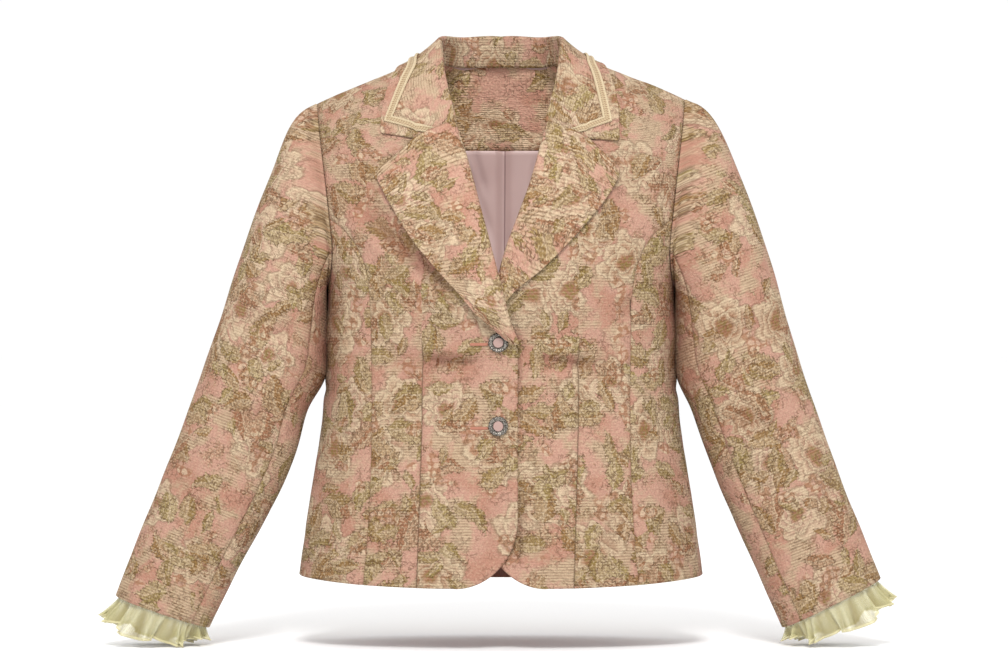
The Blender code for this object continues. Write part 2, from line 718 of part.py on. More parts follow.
def neck_facing():
    """Facing of the same cloth inside the back neck, on the backs' own points."""
    half = back_domain()[-FACING_ROWS:, :NECK_COLUMNS].copy()
    low = surface(half[0])
    half[0, :, 1] = level_of(low[:, 0], np.full(NECK_COLUMNS, FACING_DEPTH))
    mirrored = half[:, :0:-1] * [-1, 1] + [2 * math.pi, 0]
    domain = np.concatenate([mirrored, half], axis=1)
    look = material("facing_jacquard", JACQUARD, 0.75)
    inside_wall("neck_facing", domain, FACING, np.full(domain.shape[:2], INSIDE_GAP), look)


def back_lining():
    """Lining of the back with a pleat down the centre, from the facing to above the hem."""
    share = np.linspace(0, 1, 14)[:, None]
    pleat = np.array([-0.016, -0.006, -0.002, 0.004, 0.016])
    outwards = np.linspace(PLEAT_WIDTH * 2, LINING_HALF_WIDTH, 5)
    x = np.concatenate([-outwards[::-1], pleat, outwards])[None] * (1 - 0.22 * share)
    z = LINING_BOTTOM + share * (FACING_DEPTH - SEAM_GAP - LINING_BOTTOM)
    level = level_of(*np.broadcast_arrays(x, z))
    ridge = np.exp(-(((x - 0.003) / 0.006) ** 2)) * ease((x + 0.012) / 0.010) * PLEAT_DEPTH
    domain = np.stack([angle_of(x, level, True), level], axis=-1)
    look = material("lining_mauve", MAUVE, 0.45)
    inside_wall("back_lining", domain, LINING, INSIDE_GAP + ridge * np.ones(level.shape), look)


def inside_wall(name, domain, thickness, stand_off, look):
    """Layer on the inside of the back, made from the torso's points moved in."""
    normal = normals(domain)
    outer = surface(domain) - normal * (CLOTH + stand_off)[..., None]
    inner = outer - normal * thickness
    inset(outer, inner, "top bottom left right")
    wall(name, outer, inner, look)


def sleeve_ring(turn, row, hand):
    """Point of a sleeve section: turn 0 is the outer edge, pi/2 the front and pi the underarm."""
    left = 1.0 if hand == "left" else 0.0
    outer_x, inner_x = along(SLEEVE["outer_x"], row), along(SLEEVE["inner_x"], row)
    outer_x = outer_x + left * along(SLEEVE["left_out"], row)
    inner_x = inner_x - left * along(SLEEVE["left_in"], row)
    outer_z = along(SLEEVE["outer_z"], row) + left * along(SLEEVE["left_up"], row)
    inner_z = along(SLEEVE["inner_z"], row)
    power = 2 / SLEEVE_ROUNDNESS
    out = np.sign(np.cos(turn)) * np.abs(np.cos(turn)) ** power
    forth = np.sign(np.sin(turn)) * np.abs(np.sin(turn)) ** power
    x = (outer_x + inner_x) / 2 + out * (outer_x - inner_x) / 2
    z = (outer_z + inner_z) / 2 + out * (outer_z - inner_z) / 2
    y = -along(SLEEVE["forward"], row) - forth * along(SLEEVE["half_depth"], row)
    return stacked(x, y, z)


def armhole_point(turn):
    """Point of the armhole seam that a turn round the sleeve head is sewn to."""
    levels = np.linspace(ARMPIT, RIDGE, 300)
    heights = surface(armhole_edge(levels))[:, 2]
    middle, half = (heights[-1] + heights[0]) / 2, (heights[-1] - heights[0]) / 2
    level = np.interp(middle + half * np.cos(turn), heights, levels)
    angle = armhole_angle(level)
    return torso(np.where(np.sin(turn) < 0, math.pi - angle, angle), level)


def sleeve(turn, row, hand):
    """Sleeve surface: it starts on the armhole seam and passes into the plain sections."""
    turn, row = np.broadcast_arrays(turn, row)
    seam_line = armhole_point(turn) + np.array([ARMHOLE_GAP, 0, 0])
    start = seam_line - sleeve_ring(turn, np.zeros(row.shape), hand)
    fade = 1 - ease((row - 1) / (SLEEVE_JOIN - 1))
    return sleeve_ring(turn, row, hand) + start * fade[..., None]


def sleeve_normal(turn, row, hand):
    step = 1e-3
    round_it = sleeve(turn + step, row, hand) - sleeve(turn - step, row, hand)
    downward = sleeve(turn, row + step, hand) - sleeve(turn, np.maximum(row - step, 0), hand)
    return unit(np.cross(downward, round_it))


def sleeve_half(name, hand, first, last, count):
    rows = np.array([0, 0.5, 1, 1.7, 2.4, 3.2, 4, 5, 6, 7, 8, 9, 10, 11, 12.0])[:, None]
    turn = np.linspace(first, last, count)[None]
    turn, rows = np.broadcast_arrays(turn, rows)
    outer = sleeve(turn, rows, hand)
    inner = outer - sleeve_normal(turn, rows, hand) * CLOTH
    inset(outer, inner, "left right", SLEEVE_SEAM_GAP)
    wall(name, outer, inner, material(f"{name}_jacquard", JACQUARD, 0.75), hand)


def sleeve_middle(turn, row, hand):
    """Middle of a sleeve section, between a point and the one across from it."""
    return (sleeve(turn, row, hand) + sleeve(turn + math.pi, row, hand)) / 2


def frill_point(turn, share, hand):
    """Point of a frill: share -1 is inside the cuff, 0 level with its edge and 1 the free edge."""
    turn, share = np.broadcast_arrays(turn, share)
    row = np.full(turn.shape, float(CUFF))
    cuff = sleeve(turn, row, hand)
    middle = sleeve_middle(turn, row, hand)
    down = unit(middle - sleeve_middle(turn, row - 0.5, hand))
    outer_side = (1 + np.cos(turn)) / 2
    reach = FRILL_REACH_INNER + (FRILL_REACH_OUTER - FRILL_REACH_INNER) * outer_side
    reach = reach + FRILL_REACH_FRONT * np.sin(turn) ** 2
    free = np.clip(share, 0, 1)
    length = np.where(share < 0, share * FRILL_TUCK, free * reach)
    wave = np.sin(FRILL_GATHERS * turn + 1.2 * np.sin(2 * turn)) * FRILL_WAVE * free**1.2
    spread = FRILL_FLARE * free**1.5 * (0.3 + 0.7 * outer_side) + wave - FRILL_CLEARANCE
    return cuff + down * length[..., None] + unit(cuff - middle) * spread[..., None]


def frill(hand):
    """Frill: a gathered strip of organza that starts inside the cuff and waves out of it."""
    turn = np.linspace(0, 2 * math.pi, FRILL_GATHERS * 6, endpoint=False)[None]
    share = np.array([-1.0, 0.0, 0.5, 1.0])[:, None]
    step = 1e-3
    outer = frill_point(turn, share, hand)
    round_it = frill_point(turn + step, share, hand) - frill_point(turn - step, share, hand)
    downward = frill_point(turn, share + step, hand) - frill_point(turn, share - step, hand)
    inner = outer - unit(np.cross(downward, round_it)) * ORGANZA
    look = material(f"frill_{hand}_organza", CREAM, 0.5)
    wall(f"frill_{hand}", outer, inner, look, hand, ring=True)


def turned(name, profile, origin, axis, look):
    """Solid turned from a profile of radii and heights about an axis."""
    side = unit(np.cross(axis, [0.0, 0.0, 1.0]))
    mesh = bmesh.new()
    verts = [mesh.verts.new(origin + side * radius + axis * height) for radius, height in profile]
    edges = [mesh.edges.new(pair) for pair in zip(verts, verts[1:])]
    if profile[0][0] > 0:
        edges.append(mesh.edges.new((verts[-1], verts[0])))
    bmesh.ops.spin(
        mesh,
        geom=verts + edges,
        cent=origin,
        axis=axis,
        angle=2 * math.pi,
        steps=BUTTON_STEPS,
        use_merge=True,
    )
    bmesh.ops.remove_doubles(mesh, verts=mesh.verts, dist=1e-6)
    finished(name, mesh, look)


def button(name, height):
    """Button: a stamped metal rim with a rounded edge, round a flat pink centre."""
    spot = located(np.array([BUTTON_X]), np.array([height]))
    point = surface(spot)
    seat = point + normals(spot) * (front_lift(point, "right")[..., None] + LAYER_GAP)
    axis = normals(spot)[0] * np.array([-1, 1, 1])
    origin = seat[0] * np.array([-1, 1, 1])
    inside = BUTTON_CENTRE_RADIUS + SEAM_GAP
    outside = BUTTON_RADIUS
    rim = [
        (inside, 0.0002),
        (outside * 0.9, 0.0002),
        (outside, BUTTON_THICKNESS * 0.4),
        (outside * 0.93, BUTTON_THICKNESS * 0.85),
        (outside * 0.8, BUTTON_THICKNESS),
        (inside, BUTTON_THICKNESS * 0.8),
    ]
    centre = [
        (0.0, 0.0002),
        (BUTTON_CENTRE_RADIUS, 0.0002),
        (BUTTON_CENTRE_RADIUS, BUTTON_THICKNESS * 0.72),
        (BUTTON_CENTRE_RADIUS * 0.8, BUTTON_THICKNESS * 0.85),
        (0.0, BUTTON_THICKNESS * 0.9),
    ]
    metal = material(f"rim_{name}_silver", SILVER, 0.4, 1.0)
    enamel = material(f"centre_{name}_pink", PINK, 0.35)
    turned(f"button_rim_{name}", rim, origin, axis, metal)
    turned(f"button_centre_{name}", centre, origin, axis, enamel)


for hand in HANDS:
    front_panel(hand)
    side_panel(hand)
    back_panel(hand)
    lapel(hand)
    sleeve_half(f"sleeve_top_{hand}", hand, -SLEEVE_SEAM, SLEEVE_SEAM, 14)
    sleeve_half(f"sleeve_under_{hand}", hand, SLEEVE_SEAM, 2 * math.pi - SLEEVE_SEAM, 9)
    frill(hand)
collar()
collar_braid()
neck_facing()
back_lining()
for name, height in BUTTON_HEIGHTS.items():
    button(name, height)
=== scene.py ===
"""Floral jacquard blazer for a woman, filled out as it is worn, with nobody inside it.

Metres, +Z up. The wearer faces -Y and has the right arm at -X. Every cloth piece is a thin shell
on the form of its solid, worked out as a grid of points, with its creases as soft troughs.
"""

import math

import bpy
import numpy as np
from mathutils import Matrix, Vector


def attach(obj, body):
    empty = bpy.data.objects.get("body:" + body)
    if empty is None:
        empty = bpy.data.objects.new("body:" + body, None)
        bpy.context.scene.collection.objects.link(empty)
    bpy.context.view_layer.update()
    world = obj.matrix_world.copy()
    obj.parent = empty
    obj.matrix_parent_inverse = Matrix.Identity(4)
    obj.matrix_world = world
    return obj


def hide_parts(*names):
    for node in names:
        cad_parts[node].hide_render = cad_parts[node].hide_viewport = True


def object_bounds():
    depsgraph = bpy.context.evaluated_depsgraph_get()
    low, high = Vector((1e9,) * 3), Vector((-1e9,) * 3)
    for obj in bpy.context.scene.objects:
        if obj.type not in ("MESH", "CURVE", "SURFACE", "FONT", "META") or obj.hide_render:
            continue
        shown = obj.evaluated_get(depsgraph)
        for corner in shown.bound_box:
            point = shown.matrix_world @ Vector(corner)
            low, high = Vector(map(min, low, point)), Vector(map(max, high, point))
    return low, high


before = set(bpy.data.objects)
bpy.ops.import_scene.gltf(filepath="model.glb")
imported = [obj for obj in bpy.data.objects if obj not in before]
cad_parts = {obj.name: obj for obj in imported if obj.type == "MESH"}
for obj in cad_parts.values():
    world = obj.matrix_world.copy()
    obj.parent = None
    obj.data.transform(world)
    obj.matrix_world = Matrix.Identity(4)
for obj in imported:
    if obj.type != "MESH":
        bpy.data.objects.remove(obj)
cad_box = [list(corner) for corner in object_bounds()]

# The fronts: two panels of thick floral jacquard, right over left, each from the front edge and
# roll line to a princess seam that rises into the armhole. A long dart is sewn down each one, and
# the cloth is drawn into soft folds beside the lapel and across the waist.


def table(names, *rows):
    """A table with named columns, as a dictionary of arrays with one value for each row."""
    return dict(zip(names.split(), np.array(rows, dtype=float).T))


TORSO = table(
    "height shoulder_fall half_width front_depth back_depth armhole_turn",
    (-0.620, 0.0000, 0.2260, 0.140, 0.131, 21.0),
    (-0.540, 0.0000, 0.2138, 0.133, 0.121, 21.0),
    (-0.460, 0.0000, 0.2015, 0.124, 0.108, 21.0),
    (-0.390, 0.0000, 0.1915, 0.116, 0.095, 21.0),
    (-0.330, 0.0000, 0.1872, 0.116, 0.092, 21.0),
    (-0.285, 0.0000, 0.1860, 0.122, 0.097, 21.0),
    (-0.247, 0.0000, 0.1858, 0.128, 0.103, 21.0),
    (-0.190, 0.0080, 0.1920, 0.125, 0.110, 22.3),
    (-0.130, 0.0240, 0.1990, 0.109, 0.111, 23.6),
    (-0.075, 0.0390, 0.2030, 0.088, 0.104, 22.5),
    (-0.030, 0.0520, 0.2040, 0.062, 0.090, 19.7),
    (0.003, 0.0630, 0.2030, 0.034, 0.066, 16.5),
    (0.0180, 0.0670, 0.2000, 0.000, 0.000, 11.0),
    (0.003, 0.0630, 0.2030, -0.034, -0.066, 16.5),
)
WAIST = 4
ARMPIT = 6
RIDGE = 12
ROUNDNESS = 2.4
SHOULDER_TIP = 0.197
NECK_SOFTNESS = 0.050
LEFT_SHOULDER_RISE = 0.0045
HEM_SIDE = -0.552
HEM_FRONT_DROP = 0.0095
HEM_BACK_DROP = 0.011
CLOTH = 0.0020


def along(values, row):
    """Smooth cubic through a table column, read at a row number that may lie between rows."""
    values = np.asarray(values)
    last = len(values) - 1
    row = np.clip(np.asarray(row, dtype=float), 0, last)
    start = np.minimum(row.astype(int), last - 1)
    part = row - start
    here, there = values[start], values[start + 1]
    before = np.where(start > 0, values[np.maximum(start - 1, 0)], 2 * here - there)
    after = np.where(start < last - 1, values[np.minimum(start + 2, last)], 2 * there - here)
    slope_here, slope_there = (there - before) / 2, (after - here) / 2
    bend = 3 * (there - here) - 2 * slope_here - slope_there
    twist = slope_here + slope_there - 2 * (there - here)
    return here + part * (slope_here + part * (bend + part * twist))


def ease(value):
    """Smooth step from 0 to 1 as value goes from 0 to 1."""
    value = np.clip(value, 0, 1)
    return value * value * (3 - 2 * value)


def bell(distance, height, width):
    """Bell curve: its height times e to the minus square of distance over width."""
    return height * np.exp(-((distance / width) ** 2))


def unit(vectors):
    """Vectors divided by their length."""
    return vectors / np.maximum(np.linalg.norm(vectors, axis=-1, keepdims=True), 1e-12)


def stacked(x, y, z):
    """Points from three coordinates, each a number or a grid, spread over one another."""
    return np.stack(np.broadcast_arrays(x, y, z), axis=-1)


def height_at(x, level):
    """Height of a torso section: its centre height less a fall that grows towards the shoulder tip."""
    full = math.hypot(SHOULDER_TIP, NECK_SOFTNESS) - NECK_SOFTNESS
    spread = (np.hypot(x, NECK_SOFTNESS) - NECK_SOFTNESS) / full
    return along(TORSO["height"], level) - along(TORSO["shoulder_fall"], level) * spread


def torso(angle, level):
    """Point of a super-ellipse section: angle 0 is centre front, pi/2 the side, pi centre back."""
    front = np.cos(angle) > 0
    depth = np.where(front, along(TORSO["front_depth"], level), along(TORSO["back_depth"], level))
    power = 2 / ROUNDNESS
    x = along(TORSO["half_width"], level) * np.sign(np.sin(angle)) * np.abs(np.sin(angle)) ** power
    y = -depth * np.sign(np.cos(angle)) * np.abs(np.cos(angle)) ** power
    return stacked(x, y, height_at(x, level))


def surface(domain):
    """Torso points of pairs of an angle and a row."""
    return torso(domain[..., 0], domain[..., 1])


def normals(domain):
    """Outward normals of the torso, from small steps round it and up it."""
    step = 1e-3
    angle, level = domain[..., 0], domain[..., 1]
    across = torso(angle + step, level) - torso(angle - step, level)
    upward = torso(angle, level + step) - torso(angle, level - step)
    return unit(np.cross(across, upward))


def angle_of(x, level, back=False):
    """Torso angle at a distance x from the centre: the super-ellipse solved for its angle."""
    share = np.clip(np.abs(x) / along(TORSO["half_width"], level), 0, 1)
    angle = np.sign(x) * np.arcsin(share ** (ROUNDNESS / 2))
    return np.where(back, math.pi - angle, angle)


def level_of(x, z):
    """Torso row, by halving, at which the section passes through a height."""
    low, high = np.zeros(np.shape(z)), np.full(np.shape(z), float(RIDGE))
    for _ in range(40):
        middle = (low + high) / 2
        below = height_at(x, middle) < z
        low, high = np.where(below, middle, low), np.where(below, high, middle)
    return (low + high) / 2


def located(x, z, back=False):
    """Torso angle and row of a point given by its place in the front view."""
    level = level_of(x, z)
    return np.stack([angle_of(x, level, back), level], axis=-1)


def over_shoulder(across, over, back=None):
    """Torso angle and row of a point given by rows down the back or the front."""
    level = RIDGE - np.abs(over)
    return np.stack([angle_of(across, level, over > 0 if back is None else back), level], axis=-1)


def armhole_angle(level):
    """Angle of the armhole's front edge: an even curve with a round scoop under the arm."""
    scoop = np.clip(level - ARMPIT, 0, 1)
    turn = along(TORSO["armhole_turn"], level) * np.sqrt(1 - (1 - scoop) ** 2)
    return math.pi / 2 - np.radians(turn)


def armhole_edge(levels, back=False):
    """Angles and rows along the front or the back edge of the armhole."""
    angle = armhole_angle(levels)
    return np.stack([math.pi - angle if back else angle, levels], axis=-1)


def hem_point(angle):
    """Angle and row on the hem, which drops by the cosine squared towards the front and the back."""
    drop = np.where(np.cos(angle) > 0, HEM_FRONT_DROP, HEM_BACK_DROP) * np.cos(angle) ** 2
    return np.stack([angle, level_of(0.0, HEM_SIDE - drop)], axis=-1)


def run_lengths(points):
    """Distance of each point of a line from its first one, summed step by step."""
    return np.concatenate([[0], np.cumsum(np.linalg.norm(np.diff(points, axis=0), axis=-1))])


def spaced(curve, shares):
    """Points at shares of the length of a curve drawn on the torso."""
    length = run_lengths(surface(curve))
    wanted = np.asarray(shares) * length[-1]
    return np.stack([np.interp(wanted, length, curve[:, i]) for i in (0, 1)], axis=-1)


def coons(bottom, top, left, right):
    """Grid between four edges: the blend of both sides and both ends, less that of the corners."""
    u = np.linspace(0, 1, len(bottom))[None, :, None]
    v = np.linspace(0, 1, len(left))[:, None, None]
    sides = (1 - u) * left[:, None] + u * right[:, None]
    ends = (1 - v) * bottom[None] + v * top[None]
    low_corners = (1 - u) * left[0] + u * right[0]
    high_corners = (1 - u) * left[-1] + u * right[-1]
    return sides + ends - (1 - v) * low_corners - v * high_corners


def seam(rows, top, back):
    """A princess seam: a smooth line up from the hem that ends on the armhole."""
    end = armhole_edge(np.array([top]), back)
    tip = surface(end)[0]
    x = np.append(rows["x"], tip[0])
    z = np.append(rows["z"], tip[2])
    row = np.linspace(0, len(x) - 1, 160)
    curve = located(along(x, row), along(z, row), back)
    curve[0] = hem_point(curve[:1, 0])[0]
    curve[-1] = end[0]
    return spaced(curve, np.linspace(0, 1, SEAM_ROWS + 1))


def outer_edge(rows, top, back):
    """Outer edge of a panel: up its princess seam and on up the armhole to the shoulder."""
    armhole = armhole_edge(np.linspace(top, RIDGE, 120), back)
    armhole = spaced(armhole, np.linspace(0, 1, ARMHOLE_ROWS + 1))
    return np.concatenate([seam(rows, top, back), armhole[1:]])


def posture(points):
    """Moves points to how the blazer sits: the left shoulder is a little higher.

    The rise is eased in from 60 to 160 mm out and from 180 to 60 mm below the neck.
    """
    outwards = ease((points[..., 0] - 0.06) / 0.10)
    upwards = ease((points[..., 2] + 0.18) / 0.12)
    return points + stacked(0, 0, LEFT_SHOULDER_RISE * outwards * upwards)


def grid_normals(grid):
    """Normals of a grid of points, from the directions along its rows and columns."""
    return unit(np.cross(np.gradient(grid, axis=1), np.gradient(grid, axis=0)))


def from_edge(grid, edge):
    """Distance of each grid point from one edge, summed along the grid's rows or columns."""
    axis = 1 if edge in ("left", "right") else 0
    steps = np.linalg.norm(np.diff(grid, axis=axis), axis=-1)
    start = np.zeros_like(np.take(steps, [0], axis=axis))
    total = np.concatenate([start, np.cumsum(steps, axis=axis)], axis=axis)
    if edge in ("right", "top"):
        total = np.take(total, [-1], axis=axis) - total
    return total


def nearest_edge(grid, *edges):
    """Distance of each grid point from the nearest of some edges."""
    return np.min([from_edge(grid, edge) for edge in edges], axis=0)


HOLLOW_DEPTH = 0.009
FOLD_ENDS = 0.35
RIPPLE_LENGTHS = (0.085, 0.060, 0.042, 0.030)


def fold_table(*rows):
    """Table of folds: the ends of each one's line, its half width, and its height or depth."""
    return table("from_x from_z to_x to_z half_width height", *rows)


def folds_at(x, z, folds):
    """Sum of soft troughs and ridges, each a bell across its line that fades to both of its ends."""
    total = np.zeros(np.shape(x))
    for from_x, from_z, to_x, to_z, half_width, height in zip(*folds.values()):
        length = math.hypot(to_x - from_x, to_z - from_z)
        way_x, way_z = (to_x - from_x) / length, (to_z - from_z) / length
        share = ((x - from_x) * way_x + (z - from_z) * way_z) / length
        aside = (x - from_x) * way_z - (z - from_z) * way_x
        ends = ease(share / FOLD_ENDS) * ease((1 - share) / FOLD_ENDS)
        total = total + height * ends * np.exp(-((aside / half_width) ** 2))
    return total


def ripple(x, z, seed, size):
    """Small unevenness of hanging cloth: a sum of seeded waves of different lengths."""
    waves = np.random.default_rng(seed)
    total = np.zeros(np.shape(x))
    for length in RIPPLE_LENGTHS:
        turn, start = waves.uniform(0, math.pi), waves.uniform(0, 2 * math.pi)
        total = total + length * np.sin(
            (x * math.cos(turn) + z * math.sin(turn)) * 2 * math.pi / length + start
        )
    return total * size / sum(RIPPLE_LENGTHS)


def off_seam(near):
    """Share of a fold by distance from a seam: 0 up to 4 mm, eased to 1 over the next 30 mm."""
    return ease((near - 0.004) / 0.03)


def hollow_of(folds):
    """Shade in the troughs of folds: 0 on flat cloth and 1 in a trough of the full depth or more."""
    return np.clip(-folds / HOLLOW_DEPTH, 0, 1)


EDGE_ROUND = 0.35


def grid_faces(index):
    """Faces with four corners between neighbouring rows and columns of a grid of point numbers."""
    corners = [index[:-1, :-1], index[:-1, 1:], index[1:, 1:], index[1:, :-1]]
    return np.stack(corners, axis=-1).reshape(-1, 4)


def smooth_object(name, points, faces, looks):
    """Object of points and faces, shaded smoothly, that rides on the body."""
    mesh = bpy.data.meshes.new(name)
    mesh.from_pydata(points, [], faces)
    mesh.polygons.foreach_set("use_smooth", np.ones(len(faces), dtype=bool))
    for look in looks:
        mesh.materials.append(look)
    made = bpy.data.objects.new(name, mesh)
    bpy.context.scene.collection.objects.link(made)
    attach(made, "root")
    return made


def shell(
    name, outer, inner, cloth_map, looks, hand="left", ring=False, seams=None, dart=None, hollows=None
):
    """Closed thin shell between two grids of points, with rounded edges.

    The two grids are its faces. Along the border runs a line of points half way between them and
    a third of a thickness further out, so that the edge is round. A ring joins its last column to
    its first. cloth_map gives each grid point its place on the flat cloth in metres. seams and
    dart are distances from sewn lines, seams on the fronts also from lines of painted shadow, and
    hollows is painted shade in troughs and against the arms. The materials read all three.
    """
    rows, columns = outer.shape[:2]
    index = np.arange(rows * columns).reshape(rows, columns)
    if ring:
        index = np.concatenate([index, index[:, :1]], axis=1)
        borders = [index[0], index[-1]]
    else:
        borders = [np.concatenate([index[0, :-1], index[:-1, -1], index[-1, :0:-1], index[::-1, 0]])]
    flat_outer, flat_inner = outer.reshape(-1, 3), inner.reshape(-1, 3)
    inside = index.copy()
    inside[0], inside[-1] = index[1], index[-2]
    if not ring:
        inside[:, 0], inside[:, -1] = inside[:, 1], inside[:, -2]
    neighbour = np.empty(rows * columns, dtype=int)
    neighbour[index.ravel()] = inside.ravel()

    def quads(a, b):
        """Faces between two lines of point numbers."""
        return np.stack([a[:-1], a[1:], b[1:], b[:-1]], axis=-1).reshape(-1, 4)

    face = grid_faces(index)
    count = rows * columns
    points = [flat_outer, flat_inner]
    faces = [face, face[:, ::-1] + count]
    source = [np.arange(count), np.arange(count)]
    total = 2 * count
    for number, border in enumerate(borders):
        loop = border[:-1]
        middle = (flat_outer[loop] + flat_inner[loop]) / 2
        out = unit(middle - (flat_outer[neighbour[loop]] + flat_inner[neighbour[loop]]) / 2)
        thickness = np.linalg.norm(flat_outer[loop] - flat_inner[loop], axis=-1, keepdims=True)
        points.append(middle + out * thickness * EDGE_ROUND)
        source.append(loop)
        edge = np.append(np.arange(total, total + len(loop)), total)
        total += len(loop)
        if number == 1:
            faces += [quads(border, edge), quads(edge, border + count)]
        else:
            faces += [quads(edge, border), quads(border + count, edge)]
    points = np.concatenate(points) * [1 if hand != "right" else -1, 1, 1]
    faces, source = np.concatenate(faces), np.concatenate(source)
    first = points[face[:, 2]] - points[face[:, 0]]
    second = points[face[:, 3]] - points[face[:, 1]]
    outward = (points[:count] - points[count : 2 * count])[face[:, 0]]
    if np.sum(np.cross(first, second) * outward) < 0:
        faces = faces[:, ::-1]
    made = smooth_object(name, posture(points), faces, looks)
    mesh = made.data
    if len(looks) > 1:
        lined = np.zeros(len(faces), dtype=np.int32)
        lined[len(face) : 2 * len(face)] = 1
        mesh.polygons.foreach_set("material_index", lined)
    corners = np.empty(len(mesh.loops), dtype=np.int32)
    mesh.loops.foreach_get("vertex_index", corners)
    cloth_uv = mesh.uv_layers.new(name="cloth")
    corner_map = cloth_map.reshape(-1, 2)[source[corners]]
    cloth_uv.data.foreach_set("uv", corner_map.astype(np.float32).ravel())
    layers = (("seam", seams, 1.0), ("dart", dart, 1.0), ("hollow", hollows, 0.0))
    for attribute, values, plain in layers:
        values = np.full((rows, columns), plain) if values is None else values
        layer = mesh.attributes.new(attribute, "FLOAT", "POINT")
        layer.data.foreach_set("value", values.reshape(-1)[source].astype(np.float32))
    return made


FULL_TURN = 6.283


class Thread:
    """A shader socket that takes part in Python sums: each operator adds one Math node."""

    def __init__(self, tree, socket=None):
        self.tree = tree
        self.socket = socket

    def node(self, kind, settings, values):
        """Adds a node: its settings first, then the values or links of its sockets."""
        made = self.tree.nodes.new(kind)
        for name, value in settings.items():
            setattr(made, name, value)
        for name, value in values.items():
            if isinstance(value, Thread):
                self.tree.links.new(value.socket, made.inputs[name])
            else:
                made.inputs[name].default_value = value
        return made

    def out(self, kind, settings, values, output=0):
        """Adds a node and goes on from one of its outputs."""
        return Thread(self.tree, self.node(kind, settings, values).outputs[output])

    def math(self, operation, *others):
        """Adds a Math node that works on this value and others."""
        values = {number: other for number, other in enumerate((self, *others))}
        return self.out("ShaderNodeMath", {"operation": operation}, values)

    def between(self, low, high):
        """0 below low, 1 above high and a smooth step between. Low may be the larger one."""
        values = {"Value": self, "From Min": low, "From Max": high}
        return self.out("ShaderNodeMapRange", {"interpolation_type": "SMOOTHSTEP"}, values)

    def wave(self, length):
        """Sine wave of a given length along this value."""
        return (self * (FULL_TURN / length)).math("SINE")

    def cloth_map(self):
        """Place on the flat cloth."""
        return self.out("ShaderNodeUVMap", {"uv_map": "cloth"}, {})

    def attribute(self, name):
        """Values that a shell keeps at its points under a name."""
        return self.out("ShaderNodeAttribute", {"attribute_name": name}, {}, "Fac")

    def place(self):
        """Place on the blazer as it is worn."""
        return self.out("ShaderNodeTexCoord", {}, {}, "Object")

    def feed(self, shader, name):
        """Links this value to an input of a shader."""
        self.tree.links.new(self.socket, shader.inputs[name])

    def raise_cloth(self, shader, strength, height):
        """Uses this value as the relief of a shader, with a height in metres."""
        values = {"Height": self, "Strength": strength, "Distance": height}
        self.out("ShaderNodeBump", {}, values).feed(shader, "Normal")

    def __add__(self, other):
        return self.math("ADD", other)

    __radd__ = __add__

    def __sub__(self, other):
        return self.math("SUBTRACT", other)

    def __rsub__(self, other):
        return self.out("ShaderNodeMath", {"operation": "SUBTRACT"}, {0: other, 1: self})

    def __mul__(self, other):
        return self.math("MULTIPLY", other)

    __rmul__ = __mul__

    def __truediv__(self, other):
        return self.math("DIVIDE", other)

    def __gt__(self, other):
        return self.math("GREATER_THAN", other)

    def __abs__(self):
        return self.math("ABSOLUTE")


def colour(red, green, blue):
    """Linear colour of an sRGB colour given in 0 to 255."""
    values = np.array([red, green, blue]) / 255
    linear = np.where(values <= 0.04045, values / 12.92, ((values + 0.055) / 1.055) ** 2.4)
    return (*linear, 1)


def mixed(amount, first, second):
    """Colour between two others, by an amount from 0 to 1."""
    settings = {"data_type": "RGBA", "clamp_factor": True}
    return amount.out("ShaderNodeMix", settings, {0: amount, 6: first, 7: second}, 2)


def vector(operation, first, second=None, scale=None):
    """Operation on one or two vectors, or on a vector and a scale."""
    values = {0: first}
    if second is not None:
        values[1] = second
    if scale is not None:
        values["Scale"] = scale
    return first.out("ShaderNodeVectorMath", {"operation": operation}, values)


def parts_of(thread):
    """The three parts of a vector or a colour."""
    made = thread.node("ShaderNodeSeparateXYZ", {}, {0: thread})
    return [Thread(thread.tree, output) for output in made.outputs]


def new_material(name):
    """Empty Principled material, with its shader and a thread to build on."""
    made = bpy.data.materials.new(name)
    made.use_nodes = True
    return made, made.node_tree.nodes["Principled BSDF"], Thread(made.node_tree)


def set_inputs(shader, values):
    """Gives inputs of a shader plain values."""
    for name, value in values.items():
        shader.inputs[name].default_value = value


PINK = colour(170, 131, 114)
DEEP_PINK = colour(160, 117, 99)
CREAM = colour(171, 149, 122)
PALE_CREAM = colour(188, 168, 140)
OLIVE = colour(126, 107, 58)
GREY_GREEN = colour(139, 124, 75)
GOLD_BROWN = colour(132, 101, 58)
RUST = colour(140, 98, 72)
LINE_BROWN = colour(80, 52, 28)
RIB_BROWN = colour(92, 68, 42)
SHADE_BROWN = colour(112, 60, 44)
HOLLOW_SHADE_AMOUNT = 0.40
SEWN_AND_SHADE_TINT = 0.75
RELIEF_HEIGHT = 0.0012
BLOOM_CELL = 0.074
NET_CELL = 0.0052
DART_STEP = (0.016, 0.004)
THREADS_TO_A_METRE = (70.0, 420.0, 0)
MOTIF_BENDS = ((0.045, 0.020), (0.012, 0.0070), (0.0040, 0.0030))
PETALS = table(
    "reach count phase",
    (1.00, 7, 0.0),
    (0.72, 6, 1.1),
    (0.46, 5, 2.3),
)
LEAVES = table(
    "cell half_length half_width shift amount",
    (0.044, 0.0235, 0.0115, 0.13, 0.60),
    (0.035, 0.0185, 0.0092, 0.57, 0.50),
    (0.026, 0.0130, 0.0062, 0.91, 0.42),
)


def scattered(at, size, randomness, shift):
    """Motif places: local vector from the nearest of many scattered points, and three random values."""
    moved = vector("ADD", at, (shift, shift * 0.7, 0))
    cell = at.node(
        "ShaderNodeTexVoronoi",
        {"voronoi_dimensions": "2D", "feature": "F1"},
        {"Vector": moved, "Scale": 1 / size, "Randomness": randomness},
    )
    local = vector("SUBTRACT", moved, Thread(at.tree, cell.outputs["Position"]))
    return parts_of(local)[:2], parts_of(Thread(at.tree, cell.outputs["Color"]))


